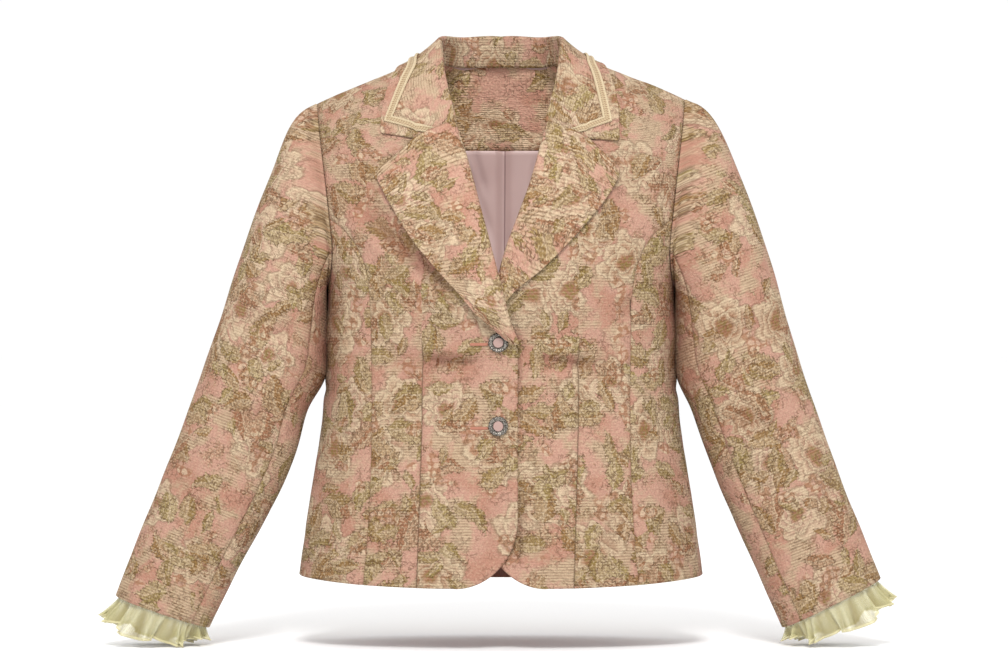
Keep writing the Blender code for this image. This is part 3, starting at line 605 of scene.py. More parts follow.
def noise(at, size, detail=2.0, output="Fac", shift=0.0):
    """Soft noise with spots of a size in metres, moved by shift so that layers differ."""
    moved = vector("ADD", at, (shift, shift * 0.6, 0)) if shift else at
    values = {"Vector": moved, "Scale": 1 / size, "Detail": detail}
    return at.out("ShaderNodeTexNoise", {"noise_dimensions": "2D"}, values, output)


def mixed_value(first, second, amount):
    """Number between two others."""
    return first + (second - first) * amount


def leaf_layer(at, ground, hatch, crowd, cell, half_length, half_width, shift, amount):
    """Leaves: lens shapes 1 - (x/half_length)^2 - |y|/half_width with toothed edges, turned at random.

    Hatch is the weave's rib wave: it carries the leaf's colour out over its edge in single ribs.
    Crowd is where leaves stand close together.
    """
    (local_x, local_y), (spin, tone, chance) = scattered(at, cell, 1.0, shift)
    angle = spin * FULL_TURN
    cosine, sine = angle.math("COSINE"), angle.math("SINE")
    x = local_x * cosine + local_y * sine
    y = local_y * cosine - local_x * sine
    x = x + (y * y) * 18.0
    side = abs(y)
    teeth = (x - side).wave(0.0052) * 0.09
    lens = 1 - (x / half_length) * (x / half_length) - side / half_width + teeth
    shown = (amount - chance + (crowd - 0.5) * 1.3) > 0.0
    mask = (lens + hatch * 0.07).between(-0.06, 0.20) * shown
    green = mixed(tone.between(0.20, 0.50), OLIVE, GREY_GREEN)
    brown = mixed(tone.between(0.72, 0.84), GOLD_BROWN, RUST)
    leaf = mixed(tone.between(0.42, 0.60), green, brown)
    half_shade = mixed(y.between(-0.0012, 0.0012) * 0.36, leaf, PALE_CREAM)
    veins = (x + side * 1.2).wave(0.0062).between(0.45, 0.95)
    veined = mixed(veins * 0.20, half_shade, LINE_BROWN)
    ribbed = mixed(side.between(0.0016, 0.0004) * 0.55, veined, PALE_CREAM)
    rim = abs(lens - 0.06).between(0.16, 0.03) * shown
    return mixed(mask * (0.78 + tone * 0.18), ground, ribbed), mask, rim


def bloom_layers(at, ground, speckle):
    """Blooms: layers of petals round scattered points, each petal pale at its rim and pink at its root.

    A layer ends where the distance from the middle is reach * (0.72 + 0.28 |cos(count * angle / 2)|).
    Short streaks run out from the root, and a broken dark line follows the rim.
    """
    (local_x, local_y), (size, spin, tone) = scattered(at, BLOOM_CELL, 0.85, 0.31)
    radius = (local_x * local_x + local_y * local_y).math("SQRT") / (0.024 + size * 0.013)
    angle = local_y.math("ARCTAN2", local_x) + spin * FULL_TURN
    shown = (size > 0.25) * 0.86
    root = mixed(tone.between(0.35, 0.75), PINK, RUST)
    gaps = speckle.between(0.36, 0.50)
    cloth, whole, lines = ground, 0.0, 0.0
    for reach, count, phase in zip(*PETALS.values()):
        lobe = abs((angle * (count / 2) + phase).math("COSINE"))
        depth = radius / (reach * (0.72 + lobe * 0.28))
        inside = depth.between(1.06, 0.92) * shown
        cloth = mixed(inside, cloth, mixed(depth.between(0.42, 0.96), root, PALE_CREAM))
        streaks = (angle * (count * 4.5) + radius * 5.0).math("SINE").between(0.3, 0.9)
        streaks = streaks * depth.between(0.98, 0.70) * depth.between(0.35, 0.60) * 0.7
        rim = abs(depth - 1.0).between(0.09, 0.02)
        crease = lobe.between(0.22, 0.04) * depth.between(0.45, 0.75) * inside
        drawn = rim.math("MAXIMUM", streaks).math("MAXIMUM", crease) * gaps * shown
        lines = drawn.math("MAXIMUM", (1 - inside) * lines)
        whole = inside.math("MAXIMUM", whole)
    heart = radius.between(0.30, 0.14) * shown
    cloth = mixed(heart, cloth, mixed(speckle.between(0.44, 0.56), RUST, OLIVE))
    return cloth, whole, lines.math("MAXIMUM", heart * 0.5)


def jacquard_material(name, brightness=1.0, rib_spacing=0.0029, rib_depth=0.54):
    """Woven flowers: scattered blooms, leaves and berries on a pink and cream ground.

    All motifs are bent by noise and soft at their edges, as woven colours are. Short dark threads
    crowd along them, and fine weft ribs cross the cream and green parts. Painted shade darkens the
    troughs of folds, the cloth against the arms, and narrow bands beside the dart, the front edge
    and the lapped front. Brightness scales the finished colour: painted light, a brighter copy of
    the same cloth. The ribs may lie wider or deeper.
    """
    made, shader, thread = new_material(name)
    dart = thread.attribute("dart")
    beyond_dart = dart > 0.0
    jump = {0: beyond_dart * DART_STEP[0], 1: beyond_dart * DART_STEP[1]}
    at = vector("ADD", thread.cloth_map(), thread.out("ShaderNodeCombineXYZ", {}, jump))
    bent = at
    for size, amount in MOTIF_BENDS:
        bent = vector("ADD", bent, vector("SCALE", noise(at, size, 1.5, "Color"), scale=amount))
    across, upright, _ = parts_of(at)
    wander = noise(at, 0.012, 2.0, shift=4.2) - 0.5
    rib = (upright + wander * 0.0012).wave(rib_spacing)
    stretched = vector("MULTIPLY", at, THREADS_TO_A_METRE)
    values = {"Vector": stretched, "Scale": 1.0}
    broken = thread.out("ShaderNodeTexNoise", {"noise_dimensions": "2D"}, values)

    speckle = noise(at, 0.0042, 2.0)
    base = mixed(noise(at, 0.050, 2.0, shift=1.9).between(0.42, 0.66), PINK, DEEP_PINK)
    cream_ground = (noise(bent, 0.032, 3.0) + (speckle - 0.5) * 0.14).between(0.44, 0.66)
    cloth = mixed(cream_ground * 0.85, base, CREAM)
    ribs_on = cream_ground * 0.70 + 0.08
    richness = noise(at, 0.110, 1.5, shift=5.3)
    dense = noise(bent, 0.022, 2.5, shift=2.7) + (richness - 0.5) * 0.35 + (speckle - 0.5) * 0.25
    dense = (dense + rib * 0.03).between(0.54, 0.72)
    undergrowth = mixed(noise(at, 0.02, 1.0, shift=8.1).between(0.4, 0.6), GOLD_BROWN, OLIVE)
    cloth = mixed(dense * 0.26, cloth, undergrowth)

    cloth, blooms, bloom_lines = bloom_layers(bent, cloth, speckle)
    ribs_on = mixed_value(ribs_on, 0.42, blooms)
    threads_on = mixed_value(dense * 0.6, 0.10, blooms)
    leaves, rims = 0.0, 0.0
    for place in zip(*LEAVES.values()):
        cloth, leaf, rim = leaf_layer(bent, cloth, rib, richness, *place)
        leaves, rims = leaf.math("MAXIMUM", leaves), rim.math("MAXIMUM", rims)
    ribs_on = mixed_value(ribs_on, 0.34, leaves)
    threads_on = mixed_value(threads_on, 0.35, leaves) + rims * 0.8

    (berry_x, berry_y), (_, berry_tone, _) = scattered(bent, 0.0085, 0.35, 0.77)
    berry = (berry_x * berry_x + berry_y * berry_y).math("SQRT")
    cluster = noise(at, 0.032, 1.0, shift=3.1).between(0.64, 0.70)
    berry_colour = mixed(berry.between(0.0022, 0.0038), mixed(berry_tone, PINK, PALE_CREAM), RUST)
    cloth = mixed(cluster * 0.8, cloth, berry_colour)
    ribs_on = mixed_value(ribs_on, 0.25, cluster)

    curled = vector("ADD", at, vector("SCALE", noise(at, 0.0065, 1.5, "Color", 6.4), scale=0.0085))
    edges = curled.out(
        "ShaderNodeTexVoronoi",
        {"voronoi_dimensions": "2D", "feature": "DISTANCE_TO_EDGE"},
        {"Vector": curled, "Scale": 1 / NET_CELL},
    )
    squiggle = edges.between(0.17, 0.05) * noise(at, 0.0048, 1.0, shift=2.2).between(0.40, 0.52)
    patchy = noise(at, 0.018, 1.5, shift=7.3).between(0.46, 0.62) * 0.45 + 0.12
    busy = (leaves + dense).math("MINIMUM", 1.0)
    marks = squiggle * (threads_on + patchy).math("MINIMUM", 1.0)
    marks = marks.math("MAXIMUM", bloom_lines * (1 - leaves) * 0.7)
    dark_dots = noise(at, 0.0021, 0.0, shift=1.3).between(0.54, 0.64) * (busy * 0.38 + 0.16)
    pale_dots = noise(at, 0.0023, 0.0, shift=4.9).between(0.56, 0.68) * (busy * 0.30 + 0.16)
    cloth = mixed(pale_dots, cloth, PALE_CREAM)
    cloth = mixed(marks.math("MAXIMUM", dark_dots) * 0.72, cloth, LINE_BROWN)

    rib_line = rib.between(0.10, 0.95) * broken.between(0.34, 0.56)
    cloth = mixed(rib_line * ribs_on * rib_depth, cloth, RIB_BROWN)
    pale_line = rib.between(-0.10, -0.95) * broken.between(0.60, 0.42)
    cloth = mixed(pale_line * ribs_on * 0.45, cloth, PALE_CREAM)
    warp_threads = across.wave(0.0024).between(0.0, 1.0) * rib.between(-0.2, 0.8)
    cloth = mixed(warp_threads * busy * 0.24, cloth, LINE_BROWN)
    grain = noise(at, 0.0015, 1.0, shift=9.7)
    cloth = mixed(grain.between(0.35, 0.75) * 0.14, cloth, LINE_BROWN)

    # Painted shade: the hollow attribute darkens the troughs of folds and the cloth against the arms
    # towards SHADE_BROWN.
    cloth = mixed(thread.attribute("hollow") * HOLLOW_SHADE_AMOUNT, cloth, SHADE_BROWN)
    # Sewn lines are dark joints. shadowed is painted shade a few millimetres each side of the dart, and
    # the seam attribute also carries painted shadow along the front edge and beside the lapped front.
    sewn = abs(dart).between(0.0009, 0.0002) * (0.35 + broken * 0.5)
    shadowed = abs(dart).between(0.0050, 0.0006) * 0.12
    edge_line = thread.attribute("seam").between(0.0018, 0.0004) * 0.28
    sewn_and_shaded = sewn.math("MAXIMUM", edge_line).math("MAXIMUM", shadowed)
    cloth = mixed(sewn_and_shaded * SEWN_AND_SHADE_TINT, cloth, LINE_BROWN)
    vector("SCALE", cloth, scale=brightness).feed(shader, "Base Color")

    relief = rib * ribs_on * 0.35 + blooms * 0.4 + leaves * 0.5 + cream_ground * 0.3
    relief = relief - marks * 0.9 + speckle * 0.9 - sewn * 2.0
    relief = relief + noise(at, 0.0026, 1.0, shift=3.6) * 0.8
    relief.raise_cloth(shader, 0.8, RELIEF_HEIGHT)
    set_inputs(shader, {"Roughness": 0.85, "Specular IOR Level": 0.2})
    return made


jacquard = jacquard_material("floral_jacquard")

HEM_SHADE_TOP = -0.530
SATIN_SHADE = colour(120, 88, 88)
HEM_SHADE_BROWN = colour(96, 52, 34)

lining_satin, satin, satin_thread = new_material("mauve_satin")
satin_mottle = noise(satin_thread.cloth_map(), 0.05, 2.0)
satin_colour = mixed(satin_mottle, colour(194, 164, 159), colour(204, 178, 172))
# Painted shade: a dark line along the pleat's fold, and the troughs of the lining's folds darker.
pleat_line = abs(satin_thread.attribute("dart")).between(0.0011, 0.0003) * 0.75
satin_colour = mixed(pleat_line, satin_colour, SATIN_SHADE)
satin_colour = mixed(satin_thread.attribute("hollow") * 0.22, satin_colour, SATIN_SHADE)
# Painted shade: below a height just above the hem, the inside faces at the back hem and in the cuffs
# turn dark brown, as they lie in shadow.
hem_shade = parts_of(satin_thread.place())[2].between(HEM_SHADE_TOP + 0.002, HEM_SHADE_TOP)
mixed(hem_shade, satin_colour, HEM_SHADE_BROWN).feed(satin, "Base Color")
set_inputs(satin, {"Roughness": 0.42, "Specular IOR Level": 0.4})

FRONT_OVERLAP = 0.017
CORNER_WIDTH = 0.066
CORNER_HEIGHT = 0.072
FRONT_LIFT = 0.0030
BREAK_LIFT = 0.0062
FRONT_SEAM = table(
    "x z",
    (0.1440, -0.5540),
    (0.1395, -0.5000),
    (0.1365, -0.4300),
    (0.1362, -0.3450),
    (0.1385, -0.2550),
    (0.1460, -0.2170),
    (0.1620, -0.1910),
)
FRONT_SEAM_TOP = 7.50
ROLL = {
    "right": table(
        "x z",
        (-0.0170, -0.3120),
        (-0.0065, -0.2870),
        (0.0075, -0.2350),
        (0.0218, -0.1810),
        (0.0385, -0.1180),
    ),
    "left": table(
        "x z",
        (-0.0170, -0.2970),
        (-0.0020, -0.2500),
        (0.0095, -0.2090),
        (0.0209, -0.1780),
        (0.0366, -0.1340),
    ),
}
NECK = table(
    "across over",
    (0.0000, 1.12),
    (0.0400, 1.10),
    (0.0620, 0.52),
    (0.0690, 0.00),
    (0.0675, -0.85),
    (0.0625, -1.85),
    (0.0525, -2.89),
)
SHOULDER_STATION = 3
GORGE_STATION = 6
DART = {
    "right": table("x z", (0.0882, -0.5640), (0.0850, -0.4700), (0.0826, -0.3900), (0.0824, -0.3080)),
    "left": table("x z", (0.0760, -0.5650), (0.0790, -0.4700), (0.0812, -0.3900), (0.0813, -0.3080)),
}
LARGE_FOLDS = fold_table(
    (0.166, -0.154, 0.026, -0.278, 0.0065, -0.0055),
    (0.161, -0.149, 0.020, -0.272, 0.0130, -0.0065),
    (0.175, -0.165, 0.034, -0.288, 0.0090, 0.0035),
    (0.130, -0.330, 0.030, -0.322, 0.016, -0.0030),
)
FRONT_FOLDS = {
    "right": fold_table(
        (0.096, -0.324, 0.010, -0.327, 0.0062, -0.0074),
        (0.088, -0.312, 0.016, -0.316, 0.0080, 0.0036),
        (0.128, -0.300, 0.090, -0.345, 0.0100, -0.0021),
        (0.012, -0.440, 0.004, -0.545, 0.0090, -0.0024),
        (0.060, -0.470, 0.050, -0.560, 0.0140, 0.0021),
        (0.110, -0.455, 0.118, -0.560, 0.0120, -0.0019),
        (0.150, -0.110, 0.120, -0.190, 0.0140, -0.0024),
    ),
    "left": fold_table(
        (0.122, -0.331, 0.022, -0.323, 0.0060, -0.0066),
        (0.110, -0.318, 0.034, -0.312, 0.0080, 0.0030),
        (0.150, -0.257, 0.118, -0.276, 0.0060, -0.0024),
        (0.146, -0.268, 0.112, -0.290, 0.0060, -0.0019),
        (0.120, -0.300, 0.070, -0.340, 0.0100, -0.0018),
        (0.022, -0.450, 0.012, -0.548, 0.0090, -0.0051),
        (0.062, -0.480, 0.056, -0.562, 0.0130, 0.0019),
        (0.112, -0.450, 0.122, -0.560, 0.0120, -0.0021),
        (0.140, -0.120, 0.112, -0.200, 0.0140, -0.0021),
    ),
}
SEAM_ROWS = 150
ARMHOLE_ROWS = 48
FRONT_COLUMNS = 73
FRONT_EDGE_SPACING = 1.3
FRONT_SEEDS = {"right": 3, "left": 4}
FRONT_CLOTH = {"right": (0.47, 0.083), "left": (0.0, 0.0)}
SEAM_DIP = 0.0012
SEAM_WIDTH = 0.0030
DART_DIP = 0.0010
SHOULDER_DIP = 0.0008
SHOULDER_WIDTH = 0.0025
FRONT_EDGE_SHADE = 0.0009
LAP_TOP = -0.29
LAP_BOTTOM = -0.535
LAP_SHADE = 0.25
SHOULDER_FROM = 8.5
SHOULDER_OVER = 2.5
SHOULDER_STRETCH = 0.6
TOP_DEPTH_FRONT = 0.095
TOP_DEPTH_BACK = 0.107


def neckline(station, back=None):
    """Neck seam of the body, from the centre back over the shoulder to the gorge."""
    return over_shoulder(along(NECK["across"], station), along(NECK["over"], station), back)


def roll_line(hand, shares):
    """Line on which a lapel turns back, from the break to the gorge."""
    gorge = surface(neckline(np.array([float(GORGE_STATION)])))[0]
    x = np.append(ROLL[hand]["x"], gorge[0])
    z = np.append(ROLL[hand]["z"], gorge[2])
    row = np.asarray(shares) * (len(x) - 1)
    return located(along(x, row), along(z, row))


def front_edge(hand):
    """Edge of a front from the hem, round the corner, up the front and roll line to the neck."""
    turn = np.linspace(0, math.pi / 2, 40)
    corner_x = CORNER_WIDTH - FRONT_OVERLAP - CORNER_WIDTH * np.sin(turn)
    corner_top = HEM_SIDE - HEM_FRONT_DROP + CORNER_HEIGHT
    corner_z = corner_top - CORNER_HEIGHT * np.cos(turn)
    straight_z = np.linspace(corner_top, ROLL[hand]["z"][0], 40)[1:-1]
    straight_x = np.full(len(straight_z), -FRONT_OVERLAP)
    corner = located(np.append(corner_x, straight_x), np.append(corner_z, straight_z))
    corner[0] = hem_point(corner[:1, 0])[0]
    stations = np.linspace(GORGE_STATION, SHOULDER_STATION, 40)[1:]
    return np.concatenate([corner, roll_line(hand, np.linspace(0, 1, 80)), neckline(stations)])


def front_lift(points, hand):
    """How far a front stands off the torso: its large folds, and the right front's lap over the left."""
    x, z = points[..., 0], points[..., 2]
    lift = np.zeros(np.shape(x))
    if hand == "right":
        near = ease((0.070 - x) / 0.045)
        stand_off = bell(z + 0.275, BREAK_LIFT, 0.055)
        lap = near * (FRONT_LIFT + stand_off) * ease((-0.150 - z) / 0.060)
        lift = folds_at(x, z, LARGE_FOLDS) + lap
    return lift


def round_torso(domain):
    """Place on the flat cloth: length round the waist section, and height, longer over the shoulder."""
    angles = np.linspace(-math.pi, 2 * math.pi, 900)
    length = run_lengths(torso(angles, np.full(len(angles), float(WAIST))))
    length = length - np.interp(0, angles, length)
    points = surface(domain)
    across = np.interp(domain[..., 0], angles, length)
    on_shoulder = ease((domain[..., 1] - SHOULDER_FROM) / SHOULDER_OVER)
    top_depth = np.where(np.cos(domain[..., 0]) > 0, TOP_DEPTH_FRONT, TOP_DEPTH_BACK)
    extra = (top_depth - np.abs(points[..., 1]) * on_shoulder) * on_shoulder
    return np.stack([across, points[..., 2] + SHOULDER_STRETCH * extra], axis=-1)


def line_aside(x, z, line):
    """Signed distance from a nearly upright sewn line: positive on its outer side."""
    line_x = np.interp(z, line["z"], line["x"])
    beyond = np.maximum(z - line["z"].max(), 0) * 2
    aside = x - line_x
    return aside + np.where(aside > 0, 1, -1) * beyond


looks = [jacquard, lining_satin]


def panel(piece, domain, lift, cloth_map, hand, **marks):
    """Body panel: its outer face is the torso raised by a lift, and the wall lies within that."""
    normal = normals(domain)
    outer = surface(domain) + normal * lift[..., None]
    made = shell(f"{piece}_cloth", outer, outer - normal * CLOTH, cloth_map, looks, hand, **marks)
    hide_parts(piece)
    return made


for hand in ("right", "left"):
    right = outer_edge(FRONT_SEAM, FRONT_SEAM_TOP, False)
    left = spaced(front_edge(hand), np.linspace(0, 1, len(right)) ** FRONT_EDGE_SPACING)
    columns = np.linspace(0, 1, FRONT_COLUMNS)[:, None]
    hem = left[0] + columns * (right[0] - left[0])
    shoulder = left[-1] + columns * (right[-1] - left[-1])
    domain = coons(hem, shoulder, left, right)
    base = surface(domain)
    x, z = base[..., 0], base[..., 2]
    side, top = from_edge(base, "right"), from_edge(base, "top")
    dart = line_aside(x, z, DART[hand])
    folds = folds_at(x, z, FRONT_FOLDS[hand])
    deep = folds + folds_at(x, z, LARGE_FOLDS) if hand == "right" else folds
    lift = front_lift(base, hand) + folds
    lift = lift + ripple(x, z, FRONT_SEEDS[hand], 0.0007) * off_seam(side)
    lift = lift - bell(side, SEAM_DIP, SEAM_WIDTH) - bell(dart, DART_DIP, SEAM_WIDTH)
    lift = lift - bell(top, SHOULDER_DIP, SHOULDER_WIDTH)
    # The front edge gets a faint line of painted shade, drawn as a seam line set a little in. On the
    # left front, a band beside the right front's edge gets painted shadow, where the right front lies
    # over it.
    near = np.minimum(np.minimum(side, top), from_edge(base, "left") + FRONT_EDGE_SHADE)
    if hand == "left":
        lapped = (x > FRONT_OVERLAP) & (z < LAP_TOP) & (z > LAP_BOTTOM)
        near = np.minimum(near, np.where(lapped, (x - FRONT_OVERLAP) * LAP_SHADE, 1.0))
    # hollows is painted shade in the troughs of the folds, those beside the lapel on the right front
    # included.
    marks = {"seams": near, "dart": dart, "hollows": hollow_of(deep)}
    flat = round_torso(domain) + FRONT_CLOTH[hand]
    front = panel(f"front_{hand}", domain, lift, flat, hand, **marks)

# The side panels: cut from the same jacquard, from the front princess seam round under the arm
# to the back one, with the scoop of the armhole on top. Soft folds cross the waist and the skirt.

BACK_SEAM = table(
    "x z",
    (0.1500, -0.5560),
    (0.1420, -0.5000),
    (0.1330, -0.4300),
    (0.1300, -0.3450),
    (0.1370, -0.2550),
    (0.1480, -0.2050),
    (0.1640, -0.1780),
)
BACK_SEAM_TOP = 7.80
SIDE_COLUMNS = 61
SIDE_SEED = 5
SIDE_CLOTH = {"right": (0.93, 0.37), "left": (0.31, 0.21)}
SIDE_FOLDS = fold_table(
    (0.020, -0.292, 0.250, -0.318, 0.0200, 0.0024),
    (0.040, -0.352, 0.200, -0.358, 0.0070, -0.0016),
    (0.090, -0.400, 0.100, -0.550, 0.0160, 0.0032),
    (0.160, -0.420, 0.175, -0.552, 0.0150, -0.0030),
)


def armpit_shade(z):
    """Shade where the arm hangs against the body, by height: eased in below the armpit and out again."""
    return ease((-z - 0.20) / 0.05) * ease((z + 0.385) / 0.06)


for hand in ("right", "left"):
    left = seam(FRONT_SEAM, FRONT_SEAM_TOP, False)
    right = seam(BACK_SEAM, BACK_SEAM_TOP, True)
    down = np.linspace(1, 0, 120) ** 2
    front_scoop = armhole_edge(ARMPIT + down * (FRONT_SEAM_TOP - ARMPIT))
    back_scoop = armhole_edge(ARMPIT + down[::-1] * (BACK_SEAM_TOP - ARMPIT), True)
    columns = np.linspace(0, 1, SIDE_COLUMNS)
    top = spaced(np.concatenate([front_scoop, back_scoop[1:]]), columns)
    bottom = hem_point(left[0, 0] + columns * (right[0, 0] - left[0, 0]))
    domain = coons(bottom, top, left, right)
    base = surface(domain)
    across, z = from_edge(base, "left"), base[..., 2]
    near = nearest_edge(base, "left", "right", "top")
    folds = folds_at(across, z, SIDE_FOLDS) * off_seam(near)
    lift = folds + ripple(across, z, SIDE_SEED, 0.0006) * off_seam(near)
    lift = lift - bell(near, SEAM_DIP, SEAM_WIDTH)
    # Painted shade: in the troughs of the folds and where the side panel faces the arm.
    facing_arm = ease((normals(domain)[..., 0] - 0.75) / 0.2)
    hollows = np.maximum(hollow_of(folds), armpit_shade(z) * facing_arm)
    flat = round_torso(domain) + SIDE_CLOTH[hand]
    side = panel(f"side_{hand}", domain, lift, flat, hand, seams=near, hollows=hollows)

# The backs: two panels joined by a centre back seam, with the neck and shoulder seams on top.
# They are plain, with soft draws from the shoulder blades and small creases at the waist.

NECK_COLUMNS = 43
SHOULDER_COLUMNS = 31
BACK_SEEDS = {"right": 7, "left": 8}
BACK_CLOTH = {"right": (0.67, 0.29), "left": (0.11, 0.53)}
BACK_FOLDS = fold_table(
    (0.135, -0.130, 0.050, -0.240, 0.0160, -0.0044),
    (0.020, -0.318, 0.115, -0.330, 0.0080, -0.0036),
    (0.012, -0.300, 0.090, -0.304, 0.0100, 0.0024),
    (0.030, -0.352, 0.120, -0.345, 0.0070, -0.0028),
    (0.050, -0.400, 0.062, -0.556, 0.0150, 0.0036),
    (0.100, -0.430, 0.112, -0.556, 0.0140, -0.0032),
)


def back_domain():
    """Grid of a back: rows from hem to neck and shoulder, columns from centre seam to armhole."""
    right = outer_edge(BACK_SEAM, BACK_SEAM_TOP, True)
    neck = neckline(np.linspace(0, SHOULDER_STATION, 60), True)
    shoulder = neck[-1] + np.linspace(0, 1, 40)[:, None] * (right[-1] - neck[-1])
    neck_columns = spaced(neck, np.linspace(0, 1, NECK_COLUMNS))
    top = np.concatenate([neck_columns, spaced(shoulder, np.linspace(0, 1, SHOULDER_COLUMNS))[1:]])
    columns = np.linspace(0, 1, len(top))
    bottom = hem_point(math.pi + columns * (right[0, 0] - math.pi))
    centre_levels = np.linspace(bottom[0, 1], top[0, 1], 80)
    centre = np.stack([np.full(80, math.pi), centre_levels], axis=-1)
    left = spaced(centre, np.linspace(0, 1, len(right)))
    return coons(bottom, top, left, right)


for hand in ("right", "left"):
    domain = back_domain()
    base = surface(domain)
    x, z = base[..., 0], base[..., 2]
    near = nearest_edge(base, "left", "right", "top")
    folds = folds_at(x, z, BACK_FOLDS) * off_seam(near)
    lift = folds + ripple(x, z, BACK_SEEDS[hand], 0.0007) * off_seam(near)
    lift = lift - bell(near, SEAM_DIP, SEAM_WIDTH)
    flat = round_torso(domain) + BACK_CLOTH[hand]
    # hollows is painted shade in the troughs of the back's folds.
    back = panel(f"back_{hand}", domain, lift, flat, hand, seams=near, hollows=hollow_of(folds))

# The neck facing and the back lining: a band of the jacquard inside the back neck, and below it
# mauve satin with a pleat of ease down the centre. Both are sewn to the backs from the inside.

FACING = 0.0012
LINING = 0.0010
INSIDE_GAP = 0.0018
FACING_DEPTH = -0.095
FACING_ROWS = 25
NECK_SEAM = -0.0008
LINING_BOTTOM = -0.535
LINING_HALF_WIDTH = 0.112
PLEAT_DEPTH = 0.005
PLEAT_HALF_WIDTH = 0.006
LINING_EASE = 0.0026
LINING_SEED = 9
FACING_CLOTH = (0.23, 0.71)
LINING_FOLDS = fold_table(
    (-0.060, -0.090, -0.012, -0.230, 0.0070, 0.0030),
    (0.055, -0.110, 0.030, -0.240, 0.0070, 0.0026),
    (0.034, -0.090, 0.018, -0.280, 0.0050, 0.0020),
    (-0.030, -0.130, -0.004, -0.300, 0.0050, 0.0022),
    (-0.044, -0.095, -0.006, -0.200, 0.0050, -0.0024),
    (-0.034, -0.080, -0.014, -0.150, 0.0040, -0.0020),
    (0.042, -0.085, 0.022, -0.190, 0.0050, -0.0014),
)

half = back_domain()[-FACING_ROWS:, :NECK_COLUMNS].copy()
low = surface(half[0])
wanted = level_of(low[:, 0], np.full(NECK_COLUMNS, FACING_DEPTH))
fade = np.clip(1 - np.arange(FACING_ROWS) / 6, 0, 1)[:, None]
half[..., 1] += fade * (wanted - half[0, :, 1])
domain = np.concatenate([half[:, :0:-1] * [-1, 1] + [2 * math.pi, 0], half], axis=1)
reach_up = ease((np.arange(FACING_ROWS) - 17) / 7)[:, None, None]
hidden = surface(domain) - normals(domain) * (CLOTH + INSIDE_GAP)
level_up = np.maximum(NECK_SEAM - hidden[-1, :, 2], 0)[None, :, None]
hidden = hidden + reach_up**2 * level_up * np.array([0, 0, 1.0])
shown = hidden - normals(domain) * FACING
facing_flat = round_torso(domain) + FACING_CLOTH
near = nearest_edge(shown, "bottom", "top")
# Painted light: the facing is the same cloth brightened 1.75 times against the shade inside the neck,
# with shallower ribs.
facing_jacquard = jacquard_material("facing_jacquard", 1.75, rib_depth=0.35)
facing = shell("neck_facing_cloth", shown, hidden, facing_flat, [facing_jacquard], "both", seams=near)
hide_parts("neck_facing")

share = np.linspace(0, 1, 91)[:, None]
x = np.linspace(-LINING_HALF_WIDTH, LINING_HALF_WIDTH, 141)[None] * (1 - 0.22 * share)
z = LINING_BOTTOM + share * (FACING_DEPTH - 0.0003 - LINING_BOTTOM) + 0 * x
level = level_of(x, z)
ridge = bell(x - 0.003, PLEAT_DEPTH, PLEAT_HALF_WIDTH) * ease((x + 0.012) / 0.010)
domain = np.stack([angle_of(x, level, True), level], axis=-1)
folds = folds_at(x, z, LINING_FOLDS)
back_troughs = np.maximum(-folds_at(np.abs(x), z, BACK_FOLDS), 0)
stand_off = CLOTH + INSIDE_GAP + LINING_EASE + ridge + folds + back_troughs
stand_off = stand_off + ripple(x, z, LINING_SEED, 0.0005)
hidden = surface(domain) - normals(domain) * stand_off[..., None]
shown = hidden - normals(domain) * LINING
pleat = x - 0.0035 - 0.006 * (z + 0.25)
lining_flat = np.stack([x, z], axis=-1)
# The pleat line and hollows are painted shade: along the pleat's fold and in the lining's troughs.
marks = {"dart": pleat, "hollows": hollow_of(folds * 4)}
lining = shell("back_lining_cloth", shown, hidden, lining_flat, [lining_satin], "both", **marks)
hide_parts("back_lining")

# The lapels: the tops of the fronts turned back along the roll line, faced with the same cloth.
# The grain follows the roll line, the edge is pressed, and the point is a little rounded.

LAPEL_EDGE = {
    "right": table(
        "x z",
        (-0.0150, -0.3110),
        (0.0280, -0.2690),
        (0.0600, -0.2360),
        (0.0930, -0.1960),
        (0.1170, -0.1560),
        (0.1310, -0.1280),
    ),
    "left": table(
        "x z",
        (-0.0160, -0.2950),
        (0.0100, -0.2560),
        (0.0440, -0.2270),
        (0.0800, -0.1900),
        (0.1080, -0.1560),
        (0.1260, -0.1270),
    ),
}
LAPEL_FOLD = 0.0052
LAPEL_LIFT = 0.0052
LAPEL_ROLL = 0.0030
LAPEL_LIP = 0.009
LAPEL_START = 0.05
LAPEL_WRAP_FROM = 0.32
LAPEL_END_LIFT = {"right": 0.0054, "left": 0.0}
NOTCH_ACROSS = 0.089
NOTCH_OVER = -3.10
LAPEL_ROWS = 81
LAPEL_CLOTH = {"right": (0.05, 0.93), "left": (0.83, 0.17)}
LAPEL_FOLDS = {
    "right": fold_table(
        (0.100, -0.150, 0.050, -0.195, 0.0120, -0.0016),
        (0.070, -0.130, 0.030, -0.240, 0.0140, 0.0019),
    ),
    "left": fold_table(
        (0.095, -0.150, 0.052, -0.190, 0.0120, -0.0016),
        (0.066, -0.140, 0.026, -0.225, 0.0130, 0.0019),
    ),
}


def rounded(first, second, start_first, start_second):
    """Moves the corner where both values reach 1 onto a round one, by the map of a square to a disc."""
    a = np.clip((first - start_first) / (1 - start_first), 0, 1)
    b = np.clip((second - start_second) / (1 - start_second), 0, 1)
    moved_first = start_first + (1 - start_first) * a * np.sqrt(1 - b * b / 2)
    moved_second = start_second + (1 - start_second) * b * np.sqrt(1 - a * a / 2)
    return np.where(a > 0, moved_first, first), np.where(b > 0, moved_second, second)


# Painted light: the lapels are the same cloth brightened 1.10 times, with wider and deeper ribs.
lapel_jacquard = jacquard_material("lapel_jacquard", 1.10, rib_spacing=0.0045, rib_depth=0.80)

